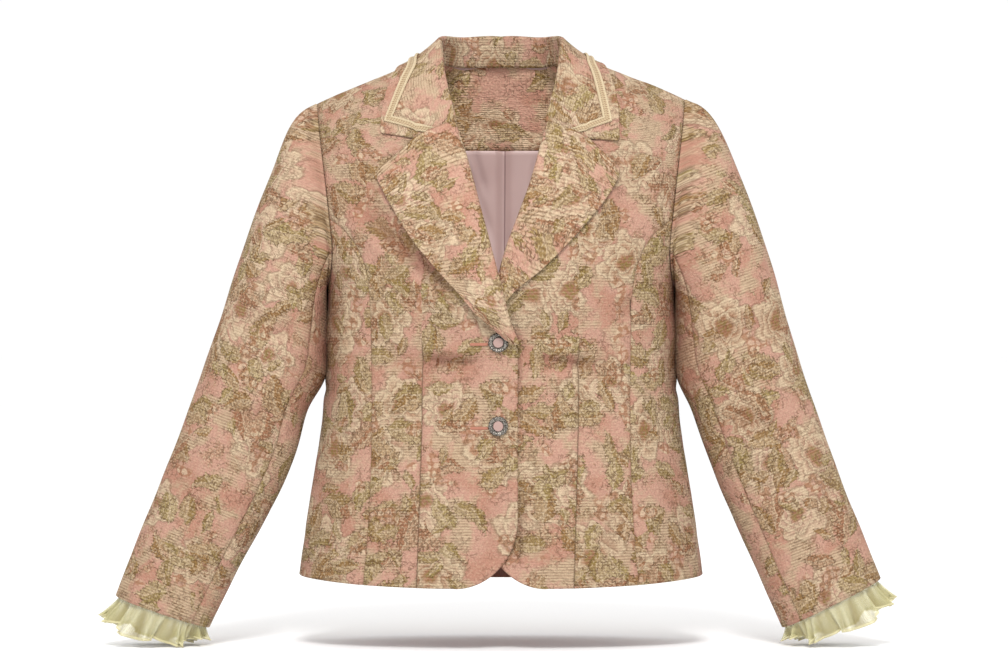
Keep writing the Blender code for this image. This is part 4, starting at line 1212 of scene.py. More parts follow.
for hand in ("right", "left"):
    rows = LAPEL_START + (1 - LAPEL_START) * np.linspace(0, 1, LAPEL_ROWS)
    roll = roll_line(hand, rows)
    roll_points = surface(roll)
    normal = normals(roll)
    roll_points = roll_points + normal * front_lift(roll_points, hand)[..., None]
    aside = unit(np.cross(unit(np.gradient(roll_points, axis=0)), normal))
    centre = roll_points - normal * CLOTH / 2
    wrap = ease((rows - LAPEL_WRAP_FROM) / 0.25)[:, None, None]
    turn = math.pi - np.linspace(1, 0, 15)[None, :, None] * np.radians(100 + 80 * wrap)
    around = np.cos(turn) * normal[:, None] + np.sin(turn) * aside[:, None]
    fold = centre[:, None] - LAPEL_FOLD * around
    lip_share = np.linspace(1, 0.25, 4)[None, :, None]
    lip = fold[:, :1] + lip_share * (LAPEL_LIP * wrap + 0.0006) * aside[:, None]

    share = 1 - 0.92 * np.linspace(1, 0, 52) ** 1.25
    row, share = np.broadcast_arrays(rows[:, None], share[None])
    row, share = rounded(row, share, 0.94, 0.93)
    edge_line = LAPEL_EDGE[hand]
    edge_row = row * (len(edge_line["x"]) - 1)
    edge_x = along(edge_line["x"], edge_row)
    end = np.stack([edge_x, level_of(edge_x, along(edge_line["z"], edge_row))], axis=-1)
    start = roll_line(hand, row)
    start = np.stack([surface(start)[..., 0], start[..., 1]], axis=-1)
    last = roll_line(hand, np.array([1.0]))
    last_x = edge_line["x"][-1]
    last_end = np.array([last_x, level_of(last_x, edge_line["z"][-1])])
    last_start = np.array([surface(last)[0, 0], last[0, 1]])
    notch = np.array([NOTCH_ACROSS, RIDGE + NOTCH_OVER]) - (last_start + last_end) / 2
    tent = (1 - np.abs(2 * share - 1)) * ease((row - 0.55) / 0.45) ** 2
    flat = start + share[..., None] * (end - start) + tent[..., None] * notch
    domain = np.stack([angle_of(flat[..., 0], flat[..., 1]), flat[..., 1]], axis=-1)
    over = surface(domain)
    width = np.linalg.norm(over[:, -1] - over[:, 0], axis=-1)[:, None]
    soft = LAPEL_ROLL * np.sin(np.pi * np.clip(share / 0.66, 0, 1)) * ease(width / 0.05)
    end_lift = LAPEL_END_LIFT[hand] * ease((0.42 - row) / 0.3) * ease(share / 0.5)
    free = from_edge(over, "right")
    pressed = bell(free - 0.0055, 0.0009, 0.0016) * ease(width / 0.04)
    creased = folds_at(over[..., 0], over[..., 2], LAPEL_FOLDS[hand]) * ease(free / 0.02)
    sunk = 0.0048 * ease((0.13 - row) / 0.08)
    below = np.maximum(front_lift(over, hand), -0.0010)
    lift = below + LAPEL_LIFT + soft + end_lift + creased - pressed - sunk
    turned = over + normals(domain) * lift[..., None]
    outer = np.concatenate([lip, fold, turned], axis=1)
    inner = outer - grid_normals(outer) * CLOTH
    upward = run_lengths(roll_points)
    flat = stacked(from_edge(outer, "left"), upward[:, None], 0)[..., :2] + LAPEL_CLOTH[hand]
    near = from_edge(outer, "top")
    lapel = shell(f"lapel_{hand}_cloth", outer, inner, flat, [lapel_jacquard], hand, seams=near)
    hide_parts(f"lapel_{hand}")

# The collar: one piece of the jacquard on a felt under-collar. The stand rises from the neck
# seam, rolls over and falls on the shoulders, and its ends are sewn to the lapels at the gorge.

COLLAR = table(
    "neck_across neck_over rise_x rise_y rise_z edge_across edge_over",
    (0.0000, 1.12, 0.0000, 0.000, 0.0236, 0.0000, 2.22),
    (0.0400, 1.10, -0.0005, -0.001, 0.0278, 0.0540, 2.08),
    (0.0620, 0.52, -0.0015, -0.001, 0.0212, 0.0850, 1.10),
    (0.0690, 0.00, -0.0030, 0.000, 0.0145, 0.1055, 0.00),
    (0.0675, -0.85, -0.0035, 0.001, 0.0096, 0.1145, -0.85),
    (0.0625, -1.85, -0.0030, 0.001, 0.0050, 0.1215, -1.75),
    (0.0525, -2.89, -0.0032, 0.000, 0.0016, 0.1225, -2.66),
)
COLLAR_POINT = {"right": (0.0035, -0.06), "left": (0.0010, -0.34)}
COLLAR_FOLD = 0.0034
COLLAR_LIFT = 0.0036
COLLAR_SWEEP = math.radians(125)
COLLAR_HOLLOW = 1.9
STAND_INSET = 0.0034
STAND_GAP = 0.0010
STAND_LEVEL = -0.0068
COLLAR_CLOTH = (0.41, 0.61)


def own_side(station):
    """Factors that carry a point to its own side: x turns round where the station is below 0."""
    return stacked(np.where(station < 0, -1, 1), 1, 1)


def collar_fold(at):
    """Rise of the stand, the direction away from the neck, and the top of the stand's inner face."""
    seat = neckline(at)
    rise = np.stack([along(COLLAR[f"rise_{axis}"], at) for axis in "xyz"], axis=-1)
    upward = unit(rise)
    normal = normals(seat)
    outward = unit(normal - upward * np.sum(normal * upward, axis=-1, keepdims=True))
    return rise, outward, surface(seat) - outward * STAND_INSET + rise


def collar_fall(station, share):
    """Point of the turned-down part: share 0 is next to the fold and 1 the free edge.

    It lies on the shoulders at a fixed lift, raised towards the fold by a falling power of share,
    and a tent over the last stations draws its front end to the notch.
    """
    at = np.abs(station)
    neck = np.stack([along(COLLAR["neck_across"], at), along(COLLAR["neck_over"], at)], axis=-1)
    edge = np.stack([along(COLLAR["edge_across"], at), along(COLLAR["edge_over"], at)], axis=-1)
    point = np.where((station < 0)[..., None], COLLAR_POINT["right"], COLLAR_POINT["left"])
    edge = edge + point * ease((at - 3.5) / 2.5)[..., None] ** 2
    notch = np.array([NOTCH_ACROSS, NOTCH_OVER]) - (neck + edge) / 2
    tent = (1 - np.abs(2 * share - 1)) * ease((at - GORGE_STATION + 1.4) / 1.4) ** 2
    flat = neck + (edge - neck) * share[..., None] + notch * tent[..., None]
    domain = over_shoulder(flat[..., 0], flat[..., 1])
    rise, outward, top = collar_fold(at)
    start = top + COLLAR_FOLD * (
        (1 - math.cos(COLLAR_SWEEP)) * outward + math.sin(COLLAR_SWEEP) * unit(rise)
    )
    seat = over_shoulder(neck[..., 0], neck[..., 1])
    base = surface(seat) + normals(seat) * COLLAR_LIFT
    point = surface(domain) + normals(domain) * COLLAR_LIFT
    point = point + (start - base) * ((1 - share) ** COLLAR_HOLLOW)[..., None]
    return point * own_side(station)


station = np.linspace(-GORGE_STATION, GORGE_STATION, 169)
at = np.abs(station)
rise, outward, top = collar_fold(at)
upward = unit(rise)
foot = top - rise + upward * STAND_GAP
foot[:, 2] += ease((3.7 - at) / 1.0) * (STAND_LEVEL - foot[:, 2])
stand = foot[:, None] + np.linspace(0, 1, 8)[None, :, None] * (top - foot)[:, None]
turn = (np.linspace(0, 1, 11)[1:-1] * COLLAR_SWEEP)[None, :, None]
around = (1 - np.cos(turn)) * outward[:, None] + np.sin(turn) * upward[:, None]
fold = top[:, None] + COLLAR_FOLD * around
inside = np.concatenate([stand, fold], axis=1) * own_side(station)[:, None]
share = 1 - np.linspace(1, 0, 46) ** 1.15
fall_at, fall_share = np.broadcast_arrays(at[:, None] / GORGE_STATION, share[None])
fall_at, fall_share = rounded(fall_at, fall_share, 0.985, 0.965)
fall = collar_fall(fall_at * GORGE_STATION * np.sign(station + 1e-9)[:, None], fall_share)
outer = np.concatenate([inside, fall], axis=1)
inner = outer + grid_normals(outer) * CLOTH
lengths = from_edge(outer, "bottom").mean(axis=1)
flat = stacked(lengths[:, None], -from_edge(outer, "left"), 0)[..., :2] + COLLAR_CLOTH
near = nearest_edge(outer, "bottom", "top")
near = np.where(np.arange(outer.shape[1])[None] > 40, 1.0, near)
# Painted light: the collar is the same cloth brightened 1.04 times, with shallower ribs.
collar_jacquard = jacquard_material("collar_jacquard", 1.04, rib_depth=0.36)
collar = shell("collar_cloth", outer, inner, flat, [collar_jacquard], "both", seams=near)
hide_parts("collar")

# The collar braid: a narrow cream braid of two corded edges with an open lattice between them,
# sewn flat on the collar inside its edge and mitred at both points.

BRAID_PLACES = {
    "right": {
        "outer": ((5.99, 0.366), (5.66, 0.952), (3.90, 0.690), (0.0, 0.80)),
        "inner": ((5.98, 0.237), (5.49, 0.825), (4.05, 0.480), (0.0, 0.60)),
    },
    "left": {
        "outer": ((5.98, 0.390), (5.53, 0.891), (3.76, 0.700), (0.0, 0.80)),
        "inner": ((5.98, 0.282), (5.43, 0.745), (3.90, 0.515), (0.0, 0.60)),
    },
}
BRAID_GAP = 0.0006
BRAID_RISE = 0.0007
BRAID_COLUMNS = 15
CORD_RISE = 0.0011
CORD_PLACE = 0.74
CORD_HALF_WIDTH = 0.26


def straight_on_collar(start, end, count):
    """Stations and shares of the collar's points nearest to a straight line between two of them."""
    station, share = np.meshgrid(np.linspace(3.5, GORGE_STATION, 420), np.linspace(0.2, 1, 300))
    places = collar_fall(station, share).reshape(-1, 3)
    first, last = collar_fall(*np.array([start, end]).T)
    wanted = first + np.linspace(0, 1, count, endpoint=False)[:, None] * (last - first)
    nearest = [np.argmin(((places - one) ** 2).sum(axis=1)) for one in wanted]
    return np.stack([station.ravel()[nearest], share.ravel()[nearest]], axis=-1)


def smoothed(values, reach):
    """Running mean over a number of neighbours, with both ends kept."""
    padded = np.concatenate([np.full(reach, values[0]), values, np.full(reach, values[-1])])
    mean = np.convolve(padded, np.ones(2 * reach + 1) / (2 * reach + 1), mode="valid")
    weight = np.clip(np.minimum(np.arange(len(values)), np.arange(len(values))[::-1]) / reach, 0, 1)
    return values + weight * (mean - values)


def braid_half(gorge, point, shoulder, back):
    """One braid edge: straight from the gorge to the point and to the shoulder, eased on to the back."""
    lower = straight_on_collar(gorge, point, 40)
    upper = straight_on_collar(point, shoulder, 60)
    behind = np.linspace(0, 1, 90)[:, None]
    behind = np.array(shoulder) + np.append(behind, ease(behind), axis=1) * (np.array(back) - shoulder)
    upper = np.concatenate([upper, behind])
    runs = [np.stack([smoothed(axis, 4) for axis in run.T], axis=-1) for run in (lower, upper)]
    return np.concatenate(runs)


lines = []
for edge in ("outer", "inner"):
    right_half, left_half = (braid_half(*BRAID_PLACES[hand][edge]) for hand in ("right", "left"))
    lines.append(np.concatenate([right_half * [-1, 1], left_half[-2::-1]]))
across = np.linspace(0, 1, BRAID_COLUMNS)[None, :, None]
path = lines[0][:, None] * (1 - across) + lines[1][:, None] * across
station, share = path[..., 0], path[..., 1]
base = collar_fall(station, share)
side = np.where(station < 0, -1.0, 1.0)
normal = unit(
    np.cross(
        collar_fall(station, share + 0.01) - collar_fall(station, share - 0.01),
        collar_fall(station - 0.02 * side, share) - base,
    )
) * side[..., None]
place = across[..., 0] * 2 - 1
from_cord = (np.abs(place) - CORD_PLACE) / CORD_HALF_WIDTH
cords = np.sqrt(np.clip(1 - from_cord**2, 0, 1)) * CORD_RISE
inner = base + normal * BRAID_GAP
outer = inner + normal * (BRAID_RISE + cords)[..., None]

braid_look, braid_shader, braid_thread = new_material("cream_braid")
run, width, _ = parts_of(braid_thread.cloth_map())
out_from_middle = abs(width - 0.5) * 2.0
middle = out_from_middle.between(0.55, 0.45)
first_bars, second_bars = ((run + width * slant).wave(0.0030) for slant in (0.0040, -0.0040))
lattice = first_bars.math("MAXIMUM", second_bars).between(0.2, 0.7)
twist = (run + out_from_middle * 0.0012).wave(0.0018)
cord_colour = mixed(twist.between(-0.6, 0.8), colour(178, 158, 126), colour(196, 178, 146))
lattice_colour = mixed(lattice, colour(138, 110, 82), colour(178, 158, 124))
mixed(middle, cord_colour, lattice_colour).feed(braid_shader, "Base Color")
(twist * 0.5 + lattice).raise_cloth(braid_shader, 0.5, 0.0006)
set_inputs(braid_shader, {"Roughness": 0.6})

run_length = run_lengths(outer[:, BRAID_COLUMNS // 2])
flat = stacked(run_length[:, None], across[..., 0], 0)[..., :2]
braid = shell("collar_braid_strip", outer, inner, flat, [braid_look], "both")
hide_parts("collar_braid")

# The sleeves: each of two pieces, a wide top sleeve and a narrow under sleeve, set into the
# armhole without gathers. They hang a little forward and out, creased softly at the elbow.

SLEEVE = table(
    "outer_x outer_z inner_x inner_z half_depth forward left_out left_in left_up",
    (0.1970, -0.0490, 0.1858, -0.2470, 0.0520, 0.000, 0.0000, 0.0000, 0.0000),
    (0.2005, -0.0488, 0.1882, -0.2482, 0.0525, 0.000, 0.0000, 0.0000, 0.0000),
    (0.2110, -0.0565, 0.1880, -0.2530, 0.0545, 0.003, 0.0020, 0.0000, 0.0000),
    (0.2255, -0.0790, 0.1880, -0.2610, 0.0560, 0.006, 0.0045, 0.0000, 0.0000),
    (0.2410, -0.1200, 0.1881, -0.2740, 0.0565, 0.010, 0.0080, 0.0000, 0.0000),
    (0.2590, -0.1660, 0.1881, -0.2930, 0.0555, 0.014, 0.0085, 0.0000, 0.0000),
    (0.2780, -0.2210, 0.1884, -0.3180, 0.0535, 0.018, 0.0080, 0.0000, 0.0000),
    (0.2970, -0.2800, 0.1905, -0.3440, 0.0505, 0.020, 0.0055, 0.0000, 0.0000),
    (0.3168, -0.3390, 0.2085, -0.3790, 0.0475, 0.021, 0.0030, 0.0030, 0.0000),
    (0.3385, -0.3990, 0.2215, -0.4270, 0.0445, 0.023, 0.0025, -0.0007, 0.0000),
    (0.3615, -0.4570, 0.2455, -0.4790, 0.0415, 0.026, 0.0000, 0.0017, 0.0010),
    (0.3860, -0.5186, 0.2790, -0.5415, 0.0380, 0.030, -0.0020, 0.0078, 0.0060),
    (0.4070, -0.5740, 0.3110, -0.6067, 0.0350, 0.034, -0.0060, 0.0112, 0.0180),
)
CUFF = 12
SLEEVE_ROUNDNESS = 2.2
SLEEVE_JOIN = 5.0
SLEEVE_SEAM = math.radians(130)
ARMHOLE_GAP = -0.0004
SLEEVE_RADIUS = 0.058
SLEEVE_SEED = 11
SLEEVE_DIP = 0.0010
HEAD_DIP = 0.0016
HEAD_DENT = 0.0030
UNDERARM_PUSH = 0.0016
SLEEVE_CLOTH = {"right": np.array([0.19, 0.79]), "left": np.array([0.57, 0.97])}
SLEEVE_HALVES = {
    "top": (-SLEEVE_SEAM, SLEEVE_SEAM, 92, (0.0, 0.0), 0.275, 0.131),
    "under": (SLEEVE_SEAM, 2 * math.pi - SLEEVE_SEAM, 41, (0.3, 0.1), 0.105, 0.0353),
}
SLEEVE_FOLDS = {
    "right": fold_table(
        (0.150, -0.150, 0.030, -0.205, 0.0120, -0.0041),
        (0.160, -0.255, 0.060, -0.300, 0.0090, -0.0046),
        (0.170, -0.285, 0.070, -0.330, 0.0080, 0.0030),
        (0.165, -0.320, 0.080, -0.350, 0.0080, -0.0037),
        (0.010, -0.330, 0.090, -0.400, 0.0130, -0.0032),
        (0.060, -0.430, 0.050, -0.560, 0.0120, 0.0028),
        (-0.160, -0.240, -0.050, -0.320, 0.0110, -0.0051),
        (-0.150, -0.310, -0.060, -0.350, 0.0090, -0.0041),
        (-0.080, -0.120, -0.020, -0.240, 0.0140, -0.0037),
    ),
    "left": fold_table(
        (0.150, -0.165, 0.025, -0.215, 0.0120, -0.0041),
        (0.160, -0.265, 0.055, -0.315, 0.0090, -0.0046),
        (0.165, -0.300, 0.065, -0.340, 0.0080, 0.0030),
        (0.168, -0.335, 0.082, -0.372, 0.0080, -0.0037),
        (0.015, -0.350, 0.085, -0.420, 0.0130, -0.0032),
        (0.055, -0.450, 0.062, -0.570, 0.0120, 0.0028),
        (-0.160, -0.255, -0.050, -0.330, 0.0110, -0.0051),
        (-0.150, -0.325, -0.060, -0.360, 0.0090, -0.0041),
        (-0.080, -0.130, -0.020, -0.250, 0.0140, -0.0037),
    ),
}


def sleeve_ring(turn, row, hand):
    """Point of a super-ellipse section: turn 0 is the outer edge, pi/2 the front, pi the underarm."""
    left = 1.0 if hand == "left" else 0.0
    outer_x, inner_x = along(SLEEVE["outer_x"], row), along(SLEEVE["inner_x"], row)
    outer_x = outer_x + left * along(SLEEVE["left_out"], row)
    inner_x = inner_x - left * along(SLEEVE["left_in"], row)
    outer_z = along(SLEEVE["outer_z"], row) + left * along(SLEEVE["left_up"], row)
    inner_z = along(SLEEVE["inner_z"], row)
    power = 2 / SLEEVE_ROUNDNESS
    out = np.sign(np.cos(turn)) * np.abs(np.cos(turn)) ** power
    forth = np.sign(np.sin(turn)) * np.abs(np.sin(turn)) ** power
    x = (outer_x + inner_x) / 2 + out * (outer_x - inner_x) / 2
    z = (outer_z + inner_z) / 2 + out * (outer_z - inner_z) / 2
    y = -along(SLEEVE["forward"], row) - forth * along(SLEEVE["half_depth"], row)
    return stacked(x, y, z)


def armhole_point(turn):
    """Point of the armhole seam that a turn round the sleeve head is sewn to."""
    levels = np.linspace(ARMPIT, RIDGE, 600)
    heights = surface(armhole_edge(levels))[:, 2]
    middle, half = (heights[-1] + heights[0]) / 2, (heights[-1] - heights[0]) / 2
    level = np.interp(middle + half * np.cos(turn), heights, levels)
    angle = armhole_angle(level)
    return torso(np.where(np.sin(turn) < 0, math.pi - angle, angle), level)


def sleeve(turn, row, hand):
    """Sleeve surface: it starts on the armhole seam and eases into the plain sections."""
    turn, row = np.broadcast_arrays(turn, row)
    seam_line = armhole_point(turn) + np.array([ARMHOLE_GAP, 0, 0])
    start = seam_line - sleeve_ring(turn, np.zeros(row.shape), hand)
    fade = 1 - ease((row - 1) / (SLEEVE_JOIN - 1))
    return sleeve_ring(turn, row, hand) + start * fade[..., None]


def sleeve_normal(turn, row, hand):
    """Outward normals of a sleeve, from small steps round it and down it."""
    step = 1e-3
    round_it = sleeve(turn + step, row, hand) - sleeve(turn - step, row, hand)
    downward = sleeve(turn, row + step, hand) - sleeve(turn, np.maximum(row - step, 0), hand)
    return unit(np.cross(round_it, downward))


def along_arm(base):
    """Place on the flat cloth: the way round from the middle column, square to the arm, and up it."""
    axis = unit(base[-1].mean(axis=0) - base[0].mean(axis=0))
    steps = np.diff(base, axis=1)
    steps = np.linalg.norm(steps - (steps @ axis)[..., None] * axis, axis=-1)
    way_round = np.cumsum(np.append(np.zeros((len(base), 1)), steps, axis=1), axis=1)
    middle = way_round[:, way_round.shape[1] // 2, None]
    return np.stack([way_round - middle, -(base @ axis)], axis=-1)


SLEEVE_ROWS = np.array([0, 0.5, 1, 1.7, 2.4, 3.2, 4, 5, 6, 7, 8, 9, 10, 11, 12.0])

for hand in ("right", "left"):
    for half, (first, last, count, start, width, area) in SLEEVE_HALVES.items():
        places = np.linspace(0, len(SLEEVE_ROWS) - 1, 127)
        rows = np.interp(places, np.arange(len(SLEEVE_ROWS)), SLEEVE_ROWS)[:, None]
        turn, rows = np.broadcast_arrays(np.linspace(first, last, count)[None], rows)
        base = sleeve(turn, rows, hand)
        normal = sleeve_normal(turn, rows, hand)
        wrapped = np.where(turn > math.pi, turn - 2 * math.pi, turn)
        across = wrapped * SLEEVE_RADIUS
        head = from_edge(base, "bottom")
        downward = -head.mean(axis=1)[:, None] + 0 * across
        near = nearest_edge(base, "left", "right")
        inside = off_seam(np.minimum(near, head - 0.006))
        folds = folds_at(across, downward, SLEEVE_FOLDS[hand]) * inside
        lift = folds + ripple(across, downward, SLEEVE_SEED, 0.0006) * inside
        lift = lift - bell(near, SLEEVE_DIP, SEAM_WIDTH) - HEAD_DIP * (1 - ease(head / 0.022))
        lift = lift - ease((np.cos(turn) - 0.4) / 0.4) * bell(head - 0.010, HEAD_DENT, 0.014)
        against_body = ease((-np.cos(turn) - 0.2) / 0.7)
        lift = lift + against_body * bell(base[..., 2] + 0.305, UNDERARM_PUSH, 0.045)
        inner = base + normal * lift[..., None]
        outer = inner + normal * CLOTH
        # Painted shade: in the troughs of the folds and where the sleeve hangs against the body.
        shade = np.maximum(hollow_of(folds), armpit_shade(base[..., 2]) * against_body)
        marks = {"seams": np.minimum(near, head + 0.0006), "hollows": shade}
        flat = along_arm(base) + SLEEVE_CLOTH[hand] + start
        piece = shell(f"sleeve_{half}_{hand}_cloth", outer, inner, flat, looks, hand, **marks)
        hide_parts(f"sleeve_{half}_{hand}")

# The frills: a strip of stiff ivory organza gathered into each cuff from the inside. It waves
# out of the cuff, and its free edge is rolled and shines a little.

ORGANZA = 0.0006
FRILL_TUCK = 0.014
FRILL_CLEARANCE = 0.0021
FRILL_REACH_INNER = 0.012
FRILL_REACH_OUTER = 0.025
FRILL_REACH_FRONT = 0.013
FRILL_FLARE = 0.006
FRILL_WAVE = 0.0052
FRILL_GATHERS = 13
FRILL_COLUMNS = 468
FRILL_RADIUS = 0.075


def sleeve_middle(turn, row, hand):
    """Middle of a sleeve section, between a point and the one across from it."""
    return (sleeve(turn, row, hand) + sleeve(turn + math.pi, row, hand)) / 2


def frill_pleats(turn):
    """Large pleats of a frill as one uneven sine round the cuff, and small ones as two quicker sines."""
    large = np.sin(FRILL_GATHERS * turn + 1.2 * np.sin(2 * turn))
    small = np.sin(29 * turn + 2.0 * np.sin(3 * turn)) + 0.5 * np.sin(43 * turn + 1.0)
    return large, small


def frill_point(turn, share, hand):
    """Point of a frill: share -1 is inside the cuff, 0 level with its edge and 1 the free edge.

    It runs on along the arm to seven rounded bunches, flares, and is pushed in and out by its
    pleats, which grow towards the free edge.
    """
    turn, share = np.broadcast_arrays(turn, share)
    row = np.full(turn.shape, float(CUFF))
    cuff = sleeve(turn, row, hand)
    middle = sleeve_middle(turn, row, hand)
    down = unit(middle - sleeve_middle(turn, row - 0.5, hand))
    outer_side = (1 + np.cos(turn)) / 2
    reach = FRILL_REACH_INNER + (FRILL_REACH_OUTER - FRILL_REACH_INNER) * outer_side
    reach = reach + FRILL_REACH_FRONT * np.sin(turn) ** 2
    bunches = np.abs(np.sin(3.5 * turn + 0.4)) ** 0.7
    reach = reach * (0.80 + 0.30 * bunches + 0.03 * np.sin(11 * turn + 2.0))
    free = np.clip(share, 0, 1)
    length = np.where(share < 0, share * FRILL_TUCK, free * reach)
    large, small = frill_pleats(turn)
    wave = large * FRILL_WAVE * free**1.2
    small = small * 0.0030 * free**0.9 * ease((share + 0.2) / 0.4)
    spread = FRILL_FLARE * free**1.5 * (0.3 + 0.7 * outer_side) + wave + small - FRILL_CLEARANCE
    outward = unit(cuff - middle)
    tangent = np.cross(down, outward)
    swing = np.cos(FRILL_GATHERS * turn + 1.2 * np.sin(2 * turn)) * 0.0046 + np.sin(21 * turn) * 0.0012
    swing = swing * free**1.4
    return cuff + down * length[..., None] + outward * spread[..., None] + tangent * swing[..., None]


organza, organza_shader, organza_thread = new_material("ivory_organza")
round_edge, toward_edge, _ = parts_of(organza_thread.cloth_map())
rolled = toward_edge.between(0.90, 0.96)
weave = (round_edge.wave(0.0011) + toward_edge.wave(0.035)) * 0.25
# Painted shade of the pleats: their troughs are darker and more opaque.
pleat_shade = organza_thread.attribute("hollow")
organza_colour = mixed(pleat_shade * 0.80, colour(204, 198, 152), colour(142, 128, 76))
mixed(rolled * 0.8, organza_colour, colour(216, 208, 166)).feed(organza_shader, "Base Color")
(0.36 + pleat_shade * 0.26 + weave * 0.16 + rolled * 0.28).feed(organza_shader, "Alpha")
(0.42 - rolled * 0.14).feed(organza_shader, "Roughness")

for hand in ("right", "left"):
    turn = np.linspace(0, 2 * math.pi, FRILL_COLUMNS, endpoint=False)[None]
    share = np.concatenate([np.linspace(-1, 0, 5)[:-1], np.linspace(0, 1, 23)])[:, None]
    step = 1e-3
    outer = frill_point(turn, share, hand)
    round_it = frill_point(turn + step, share, hand) - frill_point(turn - step, share, hand)
    downward = frill_point(turn, share + step, hand) - frill_point(turn, share - step, hand)
    thickness = ORGANZA * (1 + 1.2 * ease((share - 0.93) / 0.05)) + 0 * turn
    inner = outer - unit(np.cross(round_it, downward)) * thickness[..., None]
    flat = stacked(turn * FRILL_RADIUS, share, 0)[..., :2]
    large, small = frill_pleats(turn)
    # Painted shade of the pleats: high in their troughs and low on their ridges, none inside the cuff.
    hollows = np.clip(0.42 - 0.34 * large - 0.26 * small, 0, 1) * ease((share + 0.1) / 0.3)
    marks = {"ring": True, "hollows": hollows}
    frill = shell(f"frill_{hand}_strip", outer, inner, flat, [organza], hand, **marks)
    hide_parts(f"frill_{hand}")

# The buttons: each a stamped antique-silver rim with a scalloped, beaded edge round a flat pink
# centre, sewn on by a shank. Each buttonhole is a bar of close pink-brown stitches on the front.

BUTTON_X = 0.0028
BUTTON_HEIGHTS = {"upper": -0.304, "lower": -0.393}
BUTTON_STAND = 0.0008
BUTTON_RIM = table(
    "radius height",
    (0.0057, 0.0002),
    (0.0080, 0.0002),
    (0.0094, 0.0004),
    (0.0103, 0.0012),
    (0.0102, 0.0020),
    (0.0096, 0.0026),
    (0.0088, 0.0029),
    (0.0078, 0.0026),
    (0.0070, 0.0022),
    (0.0064, 0.0025),
    (0.0060, 0.0028),
    (0.0057, 0.0024),
)
BUTTON_CENTRE = table(
    "radius height",
    (0.0030, 0.0002),
    (0.0053, 0.0003),
    (0.0054, 0.0012),
    (0.0053, 0.0019),
    (0.0049, 0.0022),
    (0.0030, 0.00235),
    (0.0008, 0.0024),
)
BEADS = 18
BEAD_PLACE = 0.0090
BEAD_WIDTH = 0.0009
BEAD_RISE = 0.0005
SCALLOP = 0.0004
BAR_FROM = 0.0128
BAR_TO = 0.0322
BAR_STEPS = 41
BAR_DROP = 0.002
BAR_STAND = 0.0006
BAR_HALF_HEIGHT = 0.0016
BAR_RISE = 0.0008


def closed_grid(name, grid, look, poles=None):
    """Closed surface from a grid whose rows are rings. Poles closes both ends with a point each."""
    rows, columns = grid.shape[:2]
    index = np.arange(rows * columns).reshape(rows, columns)
    index = np.concatenate([index, index[:, :1]], axis=1)
    if poles is None:
        index = np.concatenate([index, index[:1]], axis=0)
    faces = grid_faces(index).tolist()
    points = grid.reshape(-1, 3)
    if poles is not None:
        points = np.concatenate([points, np.asarray(poles)])
        first, last = len(points) - 2, len(points) - 1
        faces += [[first, b, a] for a, b in zip(index[0, :-1].tolist(), index[0, 1:].tolist())]
        faces += [[last, a, b] for a, b in zip(index[-1, :-1].tolist(), index[-1, 1:].tolist())]
    corners = np.array([face[:3] for face in faces])
    volume = np.linalg.det((points - points.mean(axis=0))[corners]).sum()
    if volume < 0:
        faces = [face[::-1] for face in faces]
    return smooth_object(name, points, faces, [look])


def profile_steps(profile, count, *extra):
    """Radius and height along a turned profile, read at even steps through its rows."""
    steps = np.linspace(0, len(profile["radius"]) - 1, count)
    return [along(profile[column], steps).reshape(-1, *extra) for column in ("radius", "height")]


silver, silver_shader, silver_thread = new_material("antique_silver")
values = {"Vector": silver_thread.place(), "Scale": 900.0, "Detail": 2.0}
tarnish = silver_thread.out("ShaderNodeTexNoise", {}, values, "Fac").between(0.35, 0.65)
mixed(tarnish, colour(46, 42, 38), colour(150, 144, 136)).feed(silver_shader, "Base Color")
set_inputs(silver_shader, {"Metallic": 0.9, "Roughness": 0.38})
enamel, enamel_shader, _ = new_material("pink_enamel")
set_inputs(enamel_shader, {"Base Color": colour(156, 128, 120), "Roughness": 0.3})
stitching, stitch_shader, stitch_thread = new_material("buttonhole_stitch")
stitch_rows = parts_of(stitch_thread.place())[0].wave(0.0011).between(-0.9, 0.6)
mixed(stitch_rows, colour(128, 78, 60), colour(170, 112, 90)).feed(stitch_shader, "Base Color")
set_inputs(stitch_shader, {"Roughness": 0.7})

